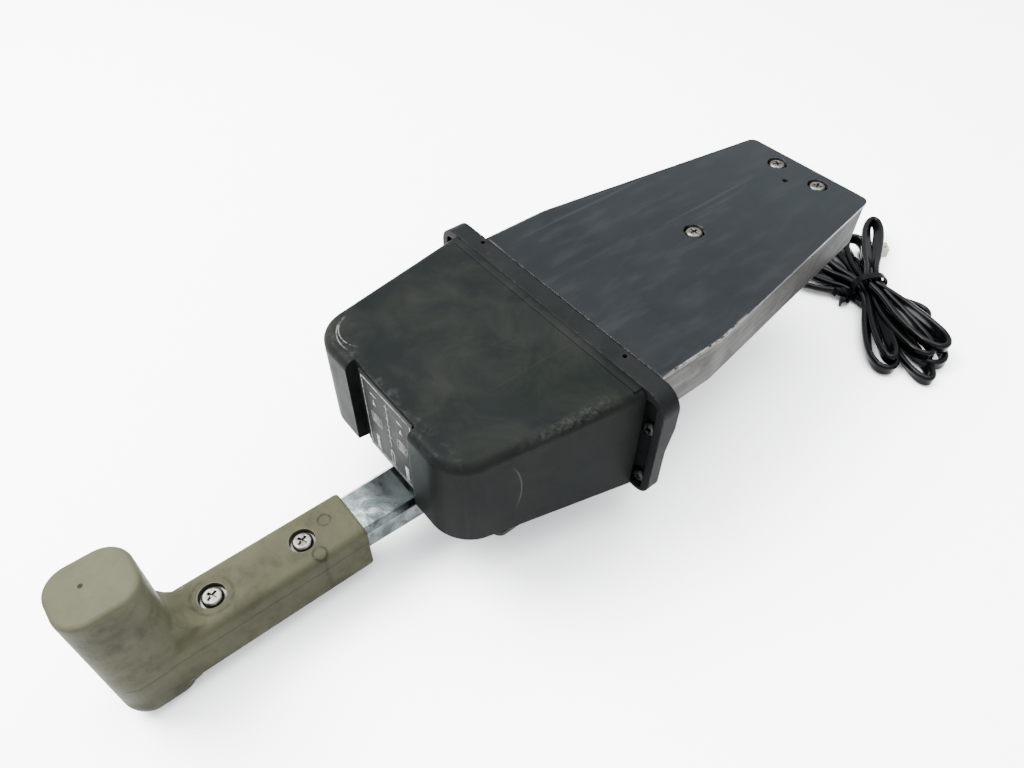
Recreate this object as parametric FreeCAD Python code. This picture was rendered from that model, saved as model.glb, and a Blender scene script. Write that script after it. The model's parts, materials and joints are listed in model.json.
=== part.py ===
import FreeCAD, Part
import math
import os

# Hand-control lever unit: a moulded hood on a mounting flange, a sheet-metal trough with a cover plate
# behind it, and a swinging hand lever on a pivot frame below.  The lever turns an upright spindle, whose
# crank slides a contact carriage inside the trough.  A two-core lead leaves the trough's far end.
# Millimetres.  X runs from the grip (-) to the lead (+), Y to the left, Z up, table at Z = 0.

V = FreeCAD.Vector
os.makedirs("parts", exist_ok=True)

# ---------------------------------------------------------------- driving dimensions
WALL = 3.0                      # hood moulding thickness
SHEET = 1.5                     # trough sheet thickness
AXIS_Y = -6.5                   # lever and trough centre line, beside the hood's own centre line
FLANGE_REAR = 30.5              # X of the flange's rear face
FLANGE_T = 10.7
FLANGE_HALF = 84.6
FLANGE_BOTTOM = 30.0
FLANGE_TOP = 99.5
THROAT_HALF = 58.0              # half the opening through the flange
THROAT_TOP = 90.0
FLANGE_FRONT = FLANGE_REAR - FLANGE_T

HOOD_TOP = 99.0
HOOD_REAR_HALF = 73.5
HOOD_NOSE_X = -77.5
HOOD_NOSE_HALF = 56.5           # at the nose, before its corners are rounded
HOOD_CORNER = 20.0
HOOD_EDGE = 5.0                 # round along the top edge
HOOD_REAR_BOTTOM = 30.0
HOOD_NOSE_BOTTOM = 45.0
LABEL_X = -72.6                 # front of the label plate
LABEL_T = 0.8
LABEL_HALF = 22.0
LABEL_BOTTOM = 41.5
LABEL_TOP = 96.4
RECESS_HALF = 25.2

PLATE_TOP = 100.0
PLATE_T = 2.0
PLATE_HALF = 65.0               # at the flange
PLATE_STRAIGHT = 40.0           # length of the parallel part, before the taper
PLATE_END_HALF = 42.2
PLATE_LENGTH = 193.7
TROUGH_BOTTOM = 72.0

PIVOT_X = -11.5
SPINDLE_R = 6.0
BAR_TOP = 38.0
BAR_BOTTOM = 22.0
BAR_HALF_GRIP = 12.75           # half width where it enters the grip
BAR_HALF_HOOD = 14.0            # half width under the nose
GRIP_END = -102.2
GRIP_HALF = 14.8
GRIP_TOP = 40.5
GRIP_BOTTOM = 10.0
KNOB_X0 = -224.2
KNOB_X1 = -190.4
KNOB_TOP = 90.0
KNOB_HALF = 15.3
GRIP_SCREWS_X = (-173.0, -128.5)

FRAME_X0 = -42.0                # pivot frame plates
FRAME_X1 = 20.0
FRAME_HALF = 37.0
FRAME_PLATE_T = 3.0
FRAME_TOP = 49.0
POST_X = (-36.0, 13.0)
POST_DY = 31.0
POST_R = 4.0

POSTS = [(x, AXIS_Y + dy) for x in POST_X for dy in (-POST_DY, POST_DY)]
STOP_R = 4.0                    # rubber buffers that end the swing
STOP_PIN_R = 2.5
STOPS = [(-30.0, AXIS_Y - 24.9), (-30.0, AXIS_Y + 24.9)]
BASE_HOLES_X = (PIVOT_X - 22.0, PIVOT_X + 22.0)
BASE_HOLES_DY = 18.0
BASE_HOLE_R = 2.75
QUADRANT_R = 26.6
QUADRANT_TOP = 41.0
NOTCH_DEPTH = 1.4
NOTCH_HALF = 3.2
LEAF_T = 0.6
LEAF_X0 = -26.0
LEAF_X1 = 7.0
DETENT_Y = AXIS_Y + 32.6
DETENT_SCREWS_X = (-2.0, 4.0)

CRANK = 24.0                    # crank pin radius
SPINDLE_TOP = 80.0              # its threaded end goes on to the crank nut
BAR_Z0 = 81.0                   # selector bar, underside
BAR_Z1 = 84.0
BAR_Y = AXIS_Y + CRANK
BAR_HALF = 8.0
GUIDES_X = (42.0, 92.0)
BOARD_X0 = 50.0                 # switch board
BOARD_X1 = 98.0
BOARD_Y0 = AXIS_Y - 15.0
BOARD_Y1 = AXIS_Y + 10.0
BOARD_Z = 77.5
BOARD_T = 1.6
CONTACT_X = 66.0                # the wiper stands here with the lever in the middle
CONTACT_STEP = 5.0
CLAMP_X0 = 180.0
CLAMP_X1 = 192.0
SWING = 12.0                    # lever swing each way, degrees

POCKET_DEPTH = 4.7              # recess in the front of each ear
EAR_SCREWS = [(side * 75.8, z) for side in (-1, 1) for z in (36.6, 73.7)]
TRIM_HOLE_X = 27.2              # blind holes in the flange's top edge
TRIM_HOLES_Y = (-50.9, 57.1)
TRIM_HOLE_R = 1.25
COVER_SCREWS = [(213.2, AXIS_Y - 14.7), (213.2, AXIS_Y + 14.7), (123.3, AXIS_Y)]
SCREW_SEAT_Z = 96.2             # the heads sit in holes through the cover plate
SIGHT_HOLE_X = 202.2
SIGHT_HOLE_R = 2.0
TONGUE_X0 = -44.0               # the trough floor runs forward into the hood
TONGUE_HALF = 40.0
EAR_RELIEF = 3.5                # the ears are thinner behind, low down, where the trough's lugs lie
LUG_TOP = 58.0
SPINDLE_BUSH_R = 9.0
HANGERS = [(x, AXIS_Y + dy) for x in (-22.0, 9.0) for dy in (-21.0, 21.0)]
HANGER_R = 4.5
LEAD_Z = 81.0                   # height at which the lead runs out through the end wall
GROMMET_NECK_R = 5.0

CORD_W = 6.2                    # flat two-core lead
CORD_T = 3.1
FAR_X = FLANGE_REAR + PLATE_LENGTH


# ---------------------------------------------------------------- small tools
def box(x0, x1, y0, y1, z0, z1):
    return Part.makeBox(x1 - x0, y1 - y0, z1 - z0, V(x0, y0, z0))


def centred(x, y, lx, ly, z0, z1):
    return box(x - lx / 2, x + lx / 2, y - ly / 2, y + ly / 2, z0, z1)


def post(x, y, z0, z1, r):
    return Part.makeCylinder(r, z1 - z0, V(x, y, z0))


def rod_x(x0, x1, y, z, r):
    return Part.makeCylinder(r, x1 - x0, V(x0, y, z), V(1, 0, 0))


def rod_y(y0, y1, x, z, r):
    return Part.makeCylinder(r, y1 - y0, V(x, y0, z), V(0, 1, 0))


def ring(x, y, z0, z1, outer, inner):
    return post(x, y, z0, z1, outer).cut(post(x, y, z0 - 1, z1 + 1, inner))


def fused(shapes):
    body = shapes[0]
    for extra in shapes[1:]:
        body = body.fuse(extra)
    return body.removeSplitter()


def cut_all(body, tools):
    for tool in tools:
        body = body.cut(tool)
    return body


def group(shapes):
    return Part.makeCompound(shapes)


def outline(points, radii, z0, height):
    """Prism over a rounded polygon: each corner of points gets the radius in radii."""
    count = len(points)
    edges = []
    starts = []
    for i in range(count):
        here = V(points[i][0], points[i][1], z0)
        before = V(points[i - 1][0], points[i - 1][1], z0)
        after = V(points[(i + 1) % count][0], points[(i + 1) % count][1], z0)
        r = radii[i]
        if r <= 0:
            starts.append((here, None, here))
            continue
        a = (before - here).normalize()
        b = (after - here).normalize()
        half = math.acos(max(-1.0, min(1.0, a.dot(b)))) / 2
        reach = r / math.tan(half)
        centre = here + (a + b).normalize() * (r / math.sin(half))
        middle = centre + (here - centre).normalize() * r
        starts.append((here + a * reach, middle, here + b * reach))
    for i in range(count):
        first, middle, last = starts[i]
        if middle is not None:
            edges.append(Part.Arc(first, middle, last).toShape())
        following = starts[(i + 1) % count][0]
        if (following - last).Length > 1e-6:
            edges.append(Part.LineSegment(last, following).toShape())
    face = Part.Face(Part.Wire(edges))
    return face.extrude(V(0, 0, height))


def rounded_box(x0, x1, y0, y1, z0, z1, r):
    return outline([(x0, y0), (x1, y0), (x1, y1), (x0, y1)], [r] * 4, z0, z1 - z0)


def edges_where(shape, test):
    return [edge for edge in shape.Edges if test(edge)]


def level(edge, z):
    box_ = edge.BoundBox
    return abs(box_.ZMin - z) < 0.01 and abs(box_.ZMax - z) < 0.01


def stood_up(shape, x):
    """A prism drawn with (Y, Z) as its (X, Y), turned so that its height runs along +X from x."""
    copy = shape.copy()
    copy.Placement = FreeCAD.Placement(V(x, 0, 0), FreeCAD.Rotation(V(1, 1, 1), 120))
    return copy


def pan_screw(head_r, head_h, shank_r, length, cross=True):
    """Screw standing on Z = 0 with its shank down and a domed, cross-recessed head above."""
    head = Part.makeCylinder(head_r, head_h)
    top = edges_where(head, lambda e: level(e, head_h))
    head = head.makeFillet(head_h * 0.55, top)
    if cross:
        depth = head_h * 0.6
        for width, reach in ((head_r * 0.24, head_r * 1.06), (head_r * 1.06, head_r * 0.24)):
            slot = Part.makeBox(width, reach, depth, V(-width / 2, -reach / 2, head_h - depth))
            head = head.cut(slot)
    shank = Part.makeCylinder(shank_r, length + 0.5, V(0, 0, -length))
    tip = edges_where(shank, lambda e: level(e, -length))
    shank = shank.makeChamfer(shank_r * 0.25, tip)
    return head.fuse(shank).removeSplitter()


def placed(shape, base, direction=(0, 0, 1), spin=0.0):
    """Copy of a shape made about +Z, turned to a direction and moved to base."""
    copy = shape.copy()
    turn = FreeCAD.Rotation(V(0, 0, 1), V(*direction))
    copy.Placement = FreeCAD.Placement(V(*base), turn.multiply(FreeCAD.Rotation(V(0, 0, 1), spin)))
    return copy


def hexagon(flats, height):
    across = flats / math.sqrt(3)
    points = [(across * math.cos(math.radians(60 * i)), across * math.sin(math.radians(60 * i)))
              for i in range(6)]
    return outline(points, [0] * 6, 0, height)


def nut(flats, height, bore_r):
    return hexagon(flats, height).cut(Part.makeCylinder(bore_r, height + 2, V(0, 0, -1)))


parts = {}


# ---------------------------------------------------------------- hood, flange and label
def hood_half(x):
    share = (FLANGE_FRONT - x) / (FLANGE_FRONT - HOOD_NOSE_X)
    return HOOD_REAR_HALF + (HOOD_NOSE_HALF - HOOD_REAR_HALF) * share


def hood_prism(inset, z0, z1, rear):
    front = HOOD_NOSE_X + inset
    points = [(rear, -hood_half(rear) + inset), (rear, hood_half(rear) - inset),
              (front, hood_half(front) - inset), (front, -hood_half(front) + inset)]
    corner = HOOD_CORNER - inset
    return outline(points, [0, 0, corner, corner], z0, z1 - z0)


def hood_underside():
    """Everything below the hood's sloping lower edge."""
    slope = (HOOD_NOSE_BOTTOM - HOOD_REAR_BOTTOM) / (FLANGE_FRONT - HOOD_NOSE_X)
    left = HOOD_NOSE_X - 20
    right = FLANGE_FRONT + 20
    corners = [V(left, -120, HOOD_NOSE_BOTTOM + 20 * slope), V(right, -120, HOOD_REAR_BOTTOM - 20 * slope),
               V(right, -120, -40), V(left, -120, -40)]
    wire = Part.makePolygon(corners + [corners[0]])
    return Part.Face(wire).extrude(V(0, 240, 0))


def make_hood():
    rear = FLANGE_FRONT - 0.4
    shell = hood_prism(0, 20, HOOD_TOP, rear)
    top_edges = edges_where(shell, lambda e: level(e, HOOD_TOP) and e.BoundBox.XMin < rear - 1)
    shell = shell.makeFillet(HOOD_EDGE, top_edges)
    recess = box(HOOD_NOSE_X - 5, LABEL_X + LABEL_T, -RECESS_HALF, RECESS_HALF, 20, HOOD_TOP + 2)
    shell = shell.cut(recess)
    hollow = hood_prism(WALL, 10, HOOD_TOP - WALL, rear + 5)
    backing = box(HOOD_NOSE_X, LABEL_X + LABEL_T + WALL, -RECESS_HALF - WALL, RECESS_HALF + WALL,
                  10, HOOD_TOP)
    hollow = hollow.cut(backing)
    shell = shell.cut(hollow)
    label_wall_bottom = box(HOOD_NOSE_X, LABEL_X + LABEL_T + WALL + 0.1, -RECESS_HALF, RECESS_HALF,
                            0, LABEL_BOTTOM)
    below = hood_underside().cut(box(HOOD_NOSE_X - 30, LABEL_X + LABEL_T + WALL, -RECESS_HALF,
                                     RECESS_HALF, -50, 200))
    shell = cut_all(shell, [below, label_wall_bottom])
    ribs = []
    for x in (-45.0, -15.0):
        inner = hood_half(x) - WALL
        for side in (-1, 1):
            y_wall = side * inner
            y_in = side * (inner - 6)
            ribs.append(box(x - 1, x + 1, min(y_wall, y_in) - 0.6, max(y_wall, y_in) + 0.6,
                            60, HOOD_TOP - WALL + 0.5))
    return fused([shell] + ribs)


def make_flange():
    plate = outline([(-FLANGE_HALF, FLANGE_BOTTOM), (FLANGE_HALF, FLANGE_BOTTOM),
                     (FLANGE_HALF, FLANGE_TOP), (-FLANGE_HALF, FLANGE_TOP)], [8, 8, 11, 11], 0, FLANGE_T)
    throat = outline([(-THROAT_HALF, 0), (THROAT_HALF, 0), (THROAT_HALF, THROAT_TOP),
                      (-THROAT_HALF, THROAT_TOP)], [0, 0, 6, 6], -1, FLANGE_T + 2)
    plate = plate.cut(throat)
    for side in (-1, 1):
        y0, y1 = sorted((side * 66.0, side * (FLANGE_HALF - 4.4)))
        pocket = outline([(y0, FLANGE_BOTTOM + 2.2), (y1, FLANGE_BOTTOM + 2.2), (y1, FLANGE_TOP - 5),
                          (y0, FLANGE_TOP - 5)], [3, 3, 3, 3], -5, 5 + POCKET_DEPTH)
        plate = plate.cut(pocket)
    plate = stood_up(plate, FLANGE_FRONT)
    relief = Part.Face(Part.makePolygon([
        V(FLANGE_REAR + 1, -100, FLANGE_BOTTOM - 1), V(FLANGE_REAR - EAR_RELIEF, -100, FLANGE_BOTTOM - 1),
        V(FLANGE_REAR - EAR_RELIEF, -100, 61), V(FLANGE_REAR, -100, 76), V(FLANGE_REAR + 1, -100, 76),
        V(FLANGE_REAR + 1, -100, FLANGE_BOTTOM - 1)])).extrude(V(0, 200, 0))
    plate = plate.cut(relief)
    for y, z in EAR_SCREWS:
        plate = plate.cut(rod_x(FLANGE_FRONT - 1, FLANGE_REAR + 1, y, z, 2.2))
    for y in TRIM_HOLES_Y:
        plate = plate.cut(post(TRIM_HOLE_X, y, FLANGE_TOP - 7, FLANGE_TOP + 1, TRIM_HOLE_R))
    return plate


def make_label():
    return rounded_box(LABEL_X, LABEL_X + LABEL_T, -LABEL_HALF, LABEL_HALF, LABEL_BOTTOM + 0.2,
                       LABEL_TOP, 0.3)


parts["hood_shell"] = make_hood()
parts["mounting_flange"] = make_flange()
parts["label_plate"] = make_label()


# ---------------------------------------------------------------- trough and cover plate
def trough_outline(grow, z0, height, corner):
    """Plan of the trough and its cover: parallel near the flange, then tapering to the far end."""
    x0 = FLANGE_REAR
    x1 = x0 + PLATE_STRAIGHT
    x2 = FAR_X + grow
    near = PLATE_HALF + grow
    far = PLATE_END_HALF + grow
    points = [(x0, AXIS_Y - near), (x1, AXIS_Y - near), (x2, AXIS_Y - far), (x2, AXIS_Y + far),
              (x1, AXIS_Y + near), (x0, AXIS_Y + near)]
    return outline(points, [0, 30, corner, corner, 30, 0], z0, height)


def make_cover():
    plate = trough_outline(0, PLATE_TOP - PLATE_T, PLATE_T, 5)
    for x, y in COVER_SCREWS:
        plate = plate.cut(post(x, y, PLATE_TOP - PLATE_T - 1, PLATE_TOP + 1, 6.0))
    return plate.cut(post(SIGHT_HOLE_X, AXIS_Y, PLATE_TOP - 5, PLATE_TOP + 1, SIGHT_HOLE_R))


def make_trough():
    top = PLATE_TOP - PLATE_T
    shell = trough_outline(-0.4, TROUGH_BOTTOM, top - TROUGH_BOTTOM, 5)
    hollow = trough_outline(-0.4 - SHEET, TROUGH_BOTTOM + SHEET, 60, 3.5)
    hollow = hollow.fuse(box(FLANGE_REAR - 5, FLANGE_REAR + SHEET, AXIS_Y - PLATE_HALF + 0.4 + SHEET,
                             AXIS_Y + PLATE_HALF - 0.4 - SHEET, TROUGH_BOTTOM + SHEET, 150))
    shell = shell.cut(hollow)
    tongue = centred((TONGUE_X0 + FLANGE_REAR + 5) / 2, AXIS_Y, FLANGE_REAR + 5 - TONGUE_X0,
                     2 * TONGUE_HALF, TROUGH_BOTTOM, TROUGH_BOTTOM + SHEET)
    lugs = []
    for side in (-1, 1):
        wall = AXIS_Y + side * (PLATE_HALF - 0.4)
        y0, y1 = sorted((wall, wall - side * SHEET))
        lug_x = FLANGE_REAR - EAR_RELIEF + 0.1
        lugs.append(box(FLANGE_REAR + 0.3, FLANGE_REAR + 8, y0, y1, FLANGE_BOTTOM + 2, TROUGH_BOTTOM + 1))
        lugs.append(box(lug_x, FLANGE_REAR + 8, y0, y1, FLANGE_BOTTOM + 2, LUG_TOP))
        y0, y1 = sorted((wall - side * SHEET, side * (FLANGE_HALF - 2.6)))
        lugs.append(box(lug_x, lug_x + SHEET, y0, y1, FLANGE_BOTTOM + 2, LUG_TOP))
    shell = fused([shell, tongue] + lugs)
    for y, z in EAR_SCREWS:
        if z < LUG_TOP:
            shell = shell.cut(rod_x(FLANGE_REAR - 5, FLANGE_REAR + 5, y, z, 2.2))
    shell = shell.cut(post(PIVOT_X, AXIS_Y, TROUGH_BOTTOM - 1, TROUGH_BOTTOM + 5, SPINDLE_BUSH_R + 0.05))
    for x, y in HANGERS:
        shell = shell.cut(post(x, y, TROUGH_BOTTOM - 1, TROUGH_BOTTOM + 5, 2.2))
    shell = shell.cut(rod_x(FAR_X - 6, FAR_X + 4, AXIS_Y, LEAD_Z, GROMMET_NECK_R + 0.05))
    return shell


def make_cover_screws():
    screw = pan_screw(4.7, 3.0, 2.4, 9)
    washer = ring(0, 0, -0.8, 0, 5.6, 2.5)
    screws = []
    for i, (x, y) in enumerate(COVER_SCREWS):
        screws.append(placed(screw, (x, y, SCREW_SEAT_Z + 0.8), spin=20 + 35 * i))
    return group(screws), group([placed(washer, (x, y, SCREW_SEAT_Z + 0.8)) for x, y in COVER_SCREWS])


def make_cover_pillars():
    pillars = []
    for x, y in COVER_SCREWS:
        pillar = placed(hexagon(11, SCREW_SEAT_Z - TROUGH_BOTTOM - SHEET), (x, y, TROUGH_BOTTOM + SHEET))
        pillars.append(pillar.cut(post(x, y, SCREW_SEAT_Z - 11, SCREW_SEAT_Z + 1, 2.4)))
    return group(pillars)


parts["trough_pan"] = make_trough()
parts["cover_plate"] = make_cover()
parts["cover_screws"], parts["cover_washers"] = make_cover_screws()
parts["cover_pillars"] = make_cover_pillars()

ear_screw = pan_screw(3.9, 2.8, 2.0, 12)
ear_nut = nut(7.0, 3.2, 2.05)
pocket_floor = FLANGE_FRONT + POCKET_DEPTH
parts["ear_screws"] = group([placed(ear_screw, (pocket_floor, y, z), (-1, 0, 0), 30 * i)
                             for i, (y, z) in enumerate(EAR_SCREWS)])
parts["ear_nuts"] = group([placed(ear_nut, (FLANGE_REAR if z > LUG_TOP else
                                            FLANGE_REAR - EAR_RELIEF + 0.1 + SHEET, y, z), (1, 0, 0))
                           for y, z in EAR_SCREWS])


# ---------------------------------------------------------------- pivot frame
def frame_plate(z0, bore_r):
    plate = rounded_box(FRAME_X0, FRAME_X1, AXIS_Y - FRAME_HALF, AXIS_Y + FRAME_HALF, z0,
                        z0 + FRAME_PLATE_T, 5)
    return plate.cut(post(PIVOT_X, AXIS_Y, z0 - 1, z0 + 10, bore_r))


def make_base_plate():
    plate = frame_plate(0, SPINDLE_BUSH_R + 0.05)
    for x, y in POSTS:
        cone = Part.makeCone(4.05, 2.1, 2.0, V(x, y, 0))
        plate = cut_all(plate, [cone, post(x, y, -1, 10, 2.1)])
    for x, y in STOPS:
        plate = plate.cut(post(x, y, 1.5, 10, STOP_PIN_R + 0.05))
    for x in BASE_HOLES_X:
        for dy in (-BASE_HOLES_DY, BASE_HOLES_DY):
            plate = plate.cut(post(x, AXIS_Y + dy, -1, 10, BASE_HOLE_R))
    return plate


def make_top_plate():
    z0 = FRAME_TOP - FRAME_PLATE_T
    plate = frame_plate(z0, SPINDLE_BUSH_R + 0.05)
    for x, y in POSTS + HANGERS:
        plate = plate.cut(post(x, y, z0 - 1, FRAME_TOP + 1, 2.2))
    for x, y in STOPS:
        plate = plate.cut(post(x, y, z0 - 1, z0 + 1.5, STOP_PIN_R + 0.05))
    for x in DETENT_SCREWS_X:
        plate = plate.cut(post(x, DETENT_Y, z0 - 1, FRAME_TOP + 1, 1.7))
    return plate


def make_frame_posts():
    z1 = FRAME_TOP - FRAME_PLATE_T
    posts = []
    for x, y in POSTS:
        body = post(x, y, FRAME_PLATE_T, z1, POST_R)
        posts.append(cut_all(body, [post(x, y, 0, 15, 2.05), post(x, y, z1 - 11, z1 + 1, 2.05)]))
    return group(posts)


def make_base_screws():
    screws = []
    for x, y in POSTS:
        head = Part.makeCone(3.8, 2.0, 1.8, V(x, y, 0.2))
        shank = post(x, y, 1.9, 13, 2.0)
        slot = box(x - 0.5, x + 0.5, y - 4, y + 4, 0, 0.8)
        screws.append(head.fuse(shank).removeSplitter().cut(slot))
    return group(screws)


def make_bush(z_flange0, z_flange1, z_tube0, z_tube1):
    flange = ring(PIVOT_X, AXIS_Y, z_flange0, z_flange1, 11.5, SPINDLE_R + 0.05)
    tube = ring(PIVOT_X, AXIS_Y, z_tube0, z_tube1, SPINDLE_BUSH_R, SPINDLE_R + 0.05)
    return fused([flange, tube])


def make_hangers():
    bodies = []
    for x, y in HANGERS:
        body = post(x, y, FRAME_TOP, TROUGH_BOTTOM, HANGER_R)
        bodies.append(cut_all(body, [post(x, y, FRAME_TOP - 1, FRAME_TOP + 8, 2.05),
                                     post(x, y, TROUGH_BOTTOM - 8, TROUGH_BOTTOM + 1, 2.05)]))
    return group(bodies)


top_z0 = FRAME_TOP - FRAME_PLATE_T
small_screw = pan_screw(3.6, 2.4, 2.0, 9)
parts["base_plate"] = make_base_plate()
parts["top_plate"] = make_top_plate()
parts["frame_posts"] = make_frame_posts()
parts["base_screws"] = make_base_screws()
parts["post_screws"] = group([placed(small_screw, (x, y, FRAME_TOP)) for x, y in POSTS])
parts["hanger_posts"] = make_hangers()
parts["hanger_screws"] = group(
    [placed(pan_screw(3.6, 2.4, 2.0, 8), (x, y, TROUGH_BOTTOM + SHEET)) for x, y in HANGERS]
    + [placed(pan_screw(3.6, 2.4, 2.0, 9), (x, y, top_z0), (0, 0, -1)) for x, y in HANGERS])
parts["lower_bush"] = make_bush(FRAME_PLATE_T, 4.5, 0.6, FRAME_PLATE_T + 0.5)
parts["middle_bush"] = make_bush(top_z0 - 1.5, top_z0, top_z0 - 0.5, FRAME_TOP)
parts["upper_bush"] = make_bush(TROUGH_BOTTOM + SHEET, TROUGH_BOTTOM + SHEET + 1.5, TROUGH_BOTTOM,
                                TROUGH_BOTTOM + SHEET + 0.5)
parts["stop_pins"] = group([post(x, y, 1.5, top_z0 + 1.5, STOP_PIN_R) for x, y in STOPS])
parts["stop_buffers"] = group([ring(x, y, 20, 40, STOP_R, STOP_PIN_R + 0.05) for x, y in STOPS])


# ---------------------------------------------------------------- detent
def notched_quadrant():
    """Plate on the lever's hub with three V notches, one for each lever position."""
    plate = ring(PIVOT_X, AXIS_Y, BAR_TOP, QUADRANT_TOP, QUADRANT_R, SPINDLE_R + 0.1)
    keep = box(PIVOT_X - 14, PIVOT_X + 14, AXIS_Y - 14, AXIS_Y + 40, 0, 100)
    plate = plate.common(keep)
    for angle in (-SWING, 0, SWING):
        notch = outline([(-NOTCH_HALF, QUADRANT_R + 1), (0, QUADRANT_R - NOTCH_DEPTH),
                         (NOTCH_HALF, QUADRANT_R + 1)], [0, 0.4, 0], 0, 100)
        notch.rotate(V(0, 0, 0), V(0, 0, 1), angle)
        notch.translate(V(PIVOT_X, AXIS_Y, 0))
        plate = plate.cut(notch)
    for dx in (-10, 10):
        plate = plate.cut(post(PIVOT_X + dx, AXIS_Y + 8, 0, 100, 1.6))
    return plate


def make_detent_leaf():
    """Spring strip along X whose V nose stands at the quadrant's middle notch."""
    inner = AXIS_Y + QUADRANT_R + 1.8
    tip = AXIS_Y + QUADRANT_R + 0.3
    points = [(LEAF_X0, inner), (PIVOT_X - 3.4, inner), (PIVOT_X, tip), (PIVOT_X + 3.4, inner),
              (LEAF_X1, inner), (LEAF_X1, inner + LEAF_T), (PIVOT_X + 2.8, inner + LEAF_T),
              (PIVOT_X, tip + 1.0), (PIVOT_X - 2.8, inner + LEAF_T), (LEAF_X0, inner + LEAF_T)]
    return outline(points, [0, 0.8, 0.5, 0.8, 0, 0, 0.3, 0.2, 0.3, 0], BAR_TOP - 1, 6)


def make_detent_block():
    y0 = AXIS_Y + QUADRANT_R + 1.8 + LEAF_T
    block = box(LEAF_X1 - 12, LEAF_X1, y0, AXIS_Y + FRAME_HALF - 1, BAR_TOP - 2, top_z0)
    for x in DETENT_SCREWS_X:
        block = block.cut(post(x, DETENT_Y, top_z0 - 9, top_z0 + 1, 1.55))
    return block


parts["detent_quadrant"] = notched_quadrant()
parts["quadrant_screws"] = group([placed(pan_screw(2.8, 1.9, 1.5, 8), (PIVOT_X + dx, AXIS_Y + 8, QUADRANT_TOP))
                                  for dx in (-10, 10)])
parts["detent_leaf"] = make_detent_leaf()
parts["detent_block"] = make_detent_block()
parts["detent_screws"] = group([placed(pan_screw(2.8, 2.0, 1.5, 10), (x, DETENT_Y, FRAME_TOP))
                                for x in DETENT_SCREWS_X])


# ---------------------------------------------------------------- hand lever
def make_lever():
    """Chrome bar, its bolting end inside the grip and its hub round the spindle."""
    height = BAR_TOP - BAR_BOTTOM
    near = BAR_HALF_HOOD
    outer = BAR_HALF_GRIP
    bar = outline([(GRIP_END - 6, AXIS_Y - outer), (-58, AXIS_Y - near), (PIVOT_X, AXIS_Y - near),
                   (PIVOT_X, AXIS_Y + near), (-58, AXIS_Y + near), (GRIP_END - 6, AXIS_Y + outer)],
                  [0] * 6, BAR_BOTTOM, height)
    long_edges = edges_where(bar, lambda e: e.BoundBox.XLength > 20 and e.BoundBox.ZLength < 0.01)
    bar = bar.makeChamfer(2.6, long_edges)
    tang = rounded_box(KNOB_X0 + 28, GRIP_END, AXIS_Y - 9, AXIS_Y + 9, BAR_BOTTOM + 1, BAR_TOP - 1, 3)
    bar = bar.cut(box(-300, GRIP_END, -100, 100, 0, 100))
    hub = post(PIVOT_X, AXIS_Y, BAR_BOTTOM, BAR_TOP, 18)
    lever = fused([bar, tang, hub])
    tools = [post(PIVOT_X, AXIS_Y, 0, 100, SPINDLE_R + 0.05), rod_y(-60, 60, PIVOT_X, 30, 2.03)]
    for x in GRIP_SCREWS_X:
        tools.append(post(x, AXIS_Y, BAR_TOP - 10, BAR_TOP + 1, 2.05))
    for dx in (-10, 10):
        tools.append(post(PIVOT_X + dx, AXIS_Y + 8, BAR_TOP - 7, BAR_TOP + 1, 1.55))
    return cut_all(lever, tools)


def make_grip():
    """One rubber moulding: sleeve round the tang, upright knob, and foot lobe under the knob."""
    sleeve = stood_up(outline([(AXIS_Y - GRIP_HALF, GRIP_BOTTOM), (AXIS_Y + GRIP_HALF, GRIP_BOTTOM),
                               (AXIS_Y + GRIP_HALF, GRIP_TOP), (AXIS_Y - GRIP_HALF, GRIP_TOP)],
                              [4, 4, 4, 4], 0, GRIP_END - KNOB_X0 - 14), KNOB_X0 + 14)
    knob = rounded_box(KNOB_X0, KNOB_X1, AXIS_Y - KNOB_HALF, AXIS_Y + KNOB_HALF, 6, KNOB_TOP, 11.5)
    top = edges_where(knob, lambda e: level(e, KNOB_TOP))
    knob = knob.makeFillet(2.2, top)
    lobe = rounded_box(KNOB_X0 + 2, KNOB_X1 + 5, AXIS_Y - 13, AXIS_Y + 13, 0, 12, 10)
    lobe = lobe.makeFillet(3, edges_where(lobe, lambda e: level(e, 0)))
    web = box(KNOB_X1 - 4, KNOB_X1 + 9, AXIS_Y - 8, AXIS_Y + 8, GRIP_TOP - 4, GRIP_TOP + 7)
    ramp = Part.Face(Part.makePolygon([V(KNOB_X1 + 9.5, -40, GRIP_TOP), V(KNOB_X1, -40, GRIP_TOP + 8),
                                       V(KNOB_X1 + 20, -40, GRIP_TOP + 8),
                                       V(KNOB_X1 + 9.5, -40, GRIP_TOP)])).extrude(V(0, 80, 0))
    body = fused([knob, sleeve, lobe, web.cut(ramp)])
    tang = rounded_box(KNOB_X0 + 28, GRIP_END + 5, AXIS_Y - 9, AXIS_Y + 9, BAR_BOTTOM + 1, BAR_TOP - 1, 3)
    core = rounded_box(KNOB_X0 + 9, KNOB_X0 + 24, AXIS_Y - 8, AXIS_Y + 8, 44, 80, 3)
    tools = [tang, core]
    for x in GRIP_SCREWS_X:
        tools.append(post(x, AXIS_Y, BAR_TOP - 1.5, GRIP_TOP + 1, 6.2))
    return cut_all(body, tools)


grip_screw = pan_screw(4.9, 2.8, 2.0, 9)
parts["lever_arm"] = make_lever()
parts["grip_cover"] = make_grip()
parts["knob_core"] = rounded_box(KNOB_X0 + 9, KNOB_X0 + 24, AXIS_Y - 8, AXIS_Y + 8, 44, 80, 3)
parts["grip_screws"] = group([placed(grip_screw, (x, AXIS_Y, BAR_TOP - 0.2), spin=25) for x in GRIP_SCREWS_X])
parts["grip_washers"] = group([ring(x, AXIS_Y, BAR_TOP - 1, BAR_TOP - 0.2, 6.1, 2.05)
                               for x in GRIP_SCREWS_X])


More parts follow.
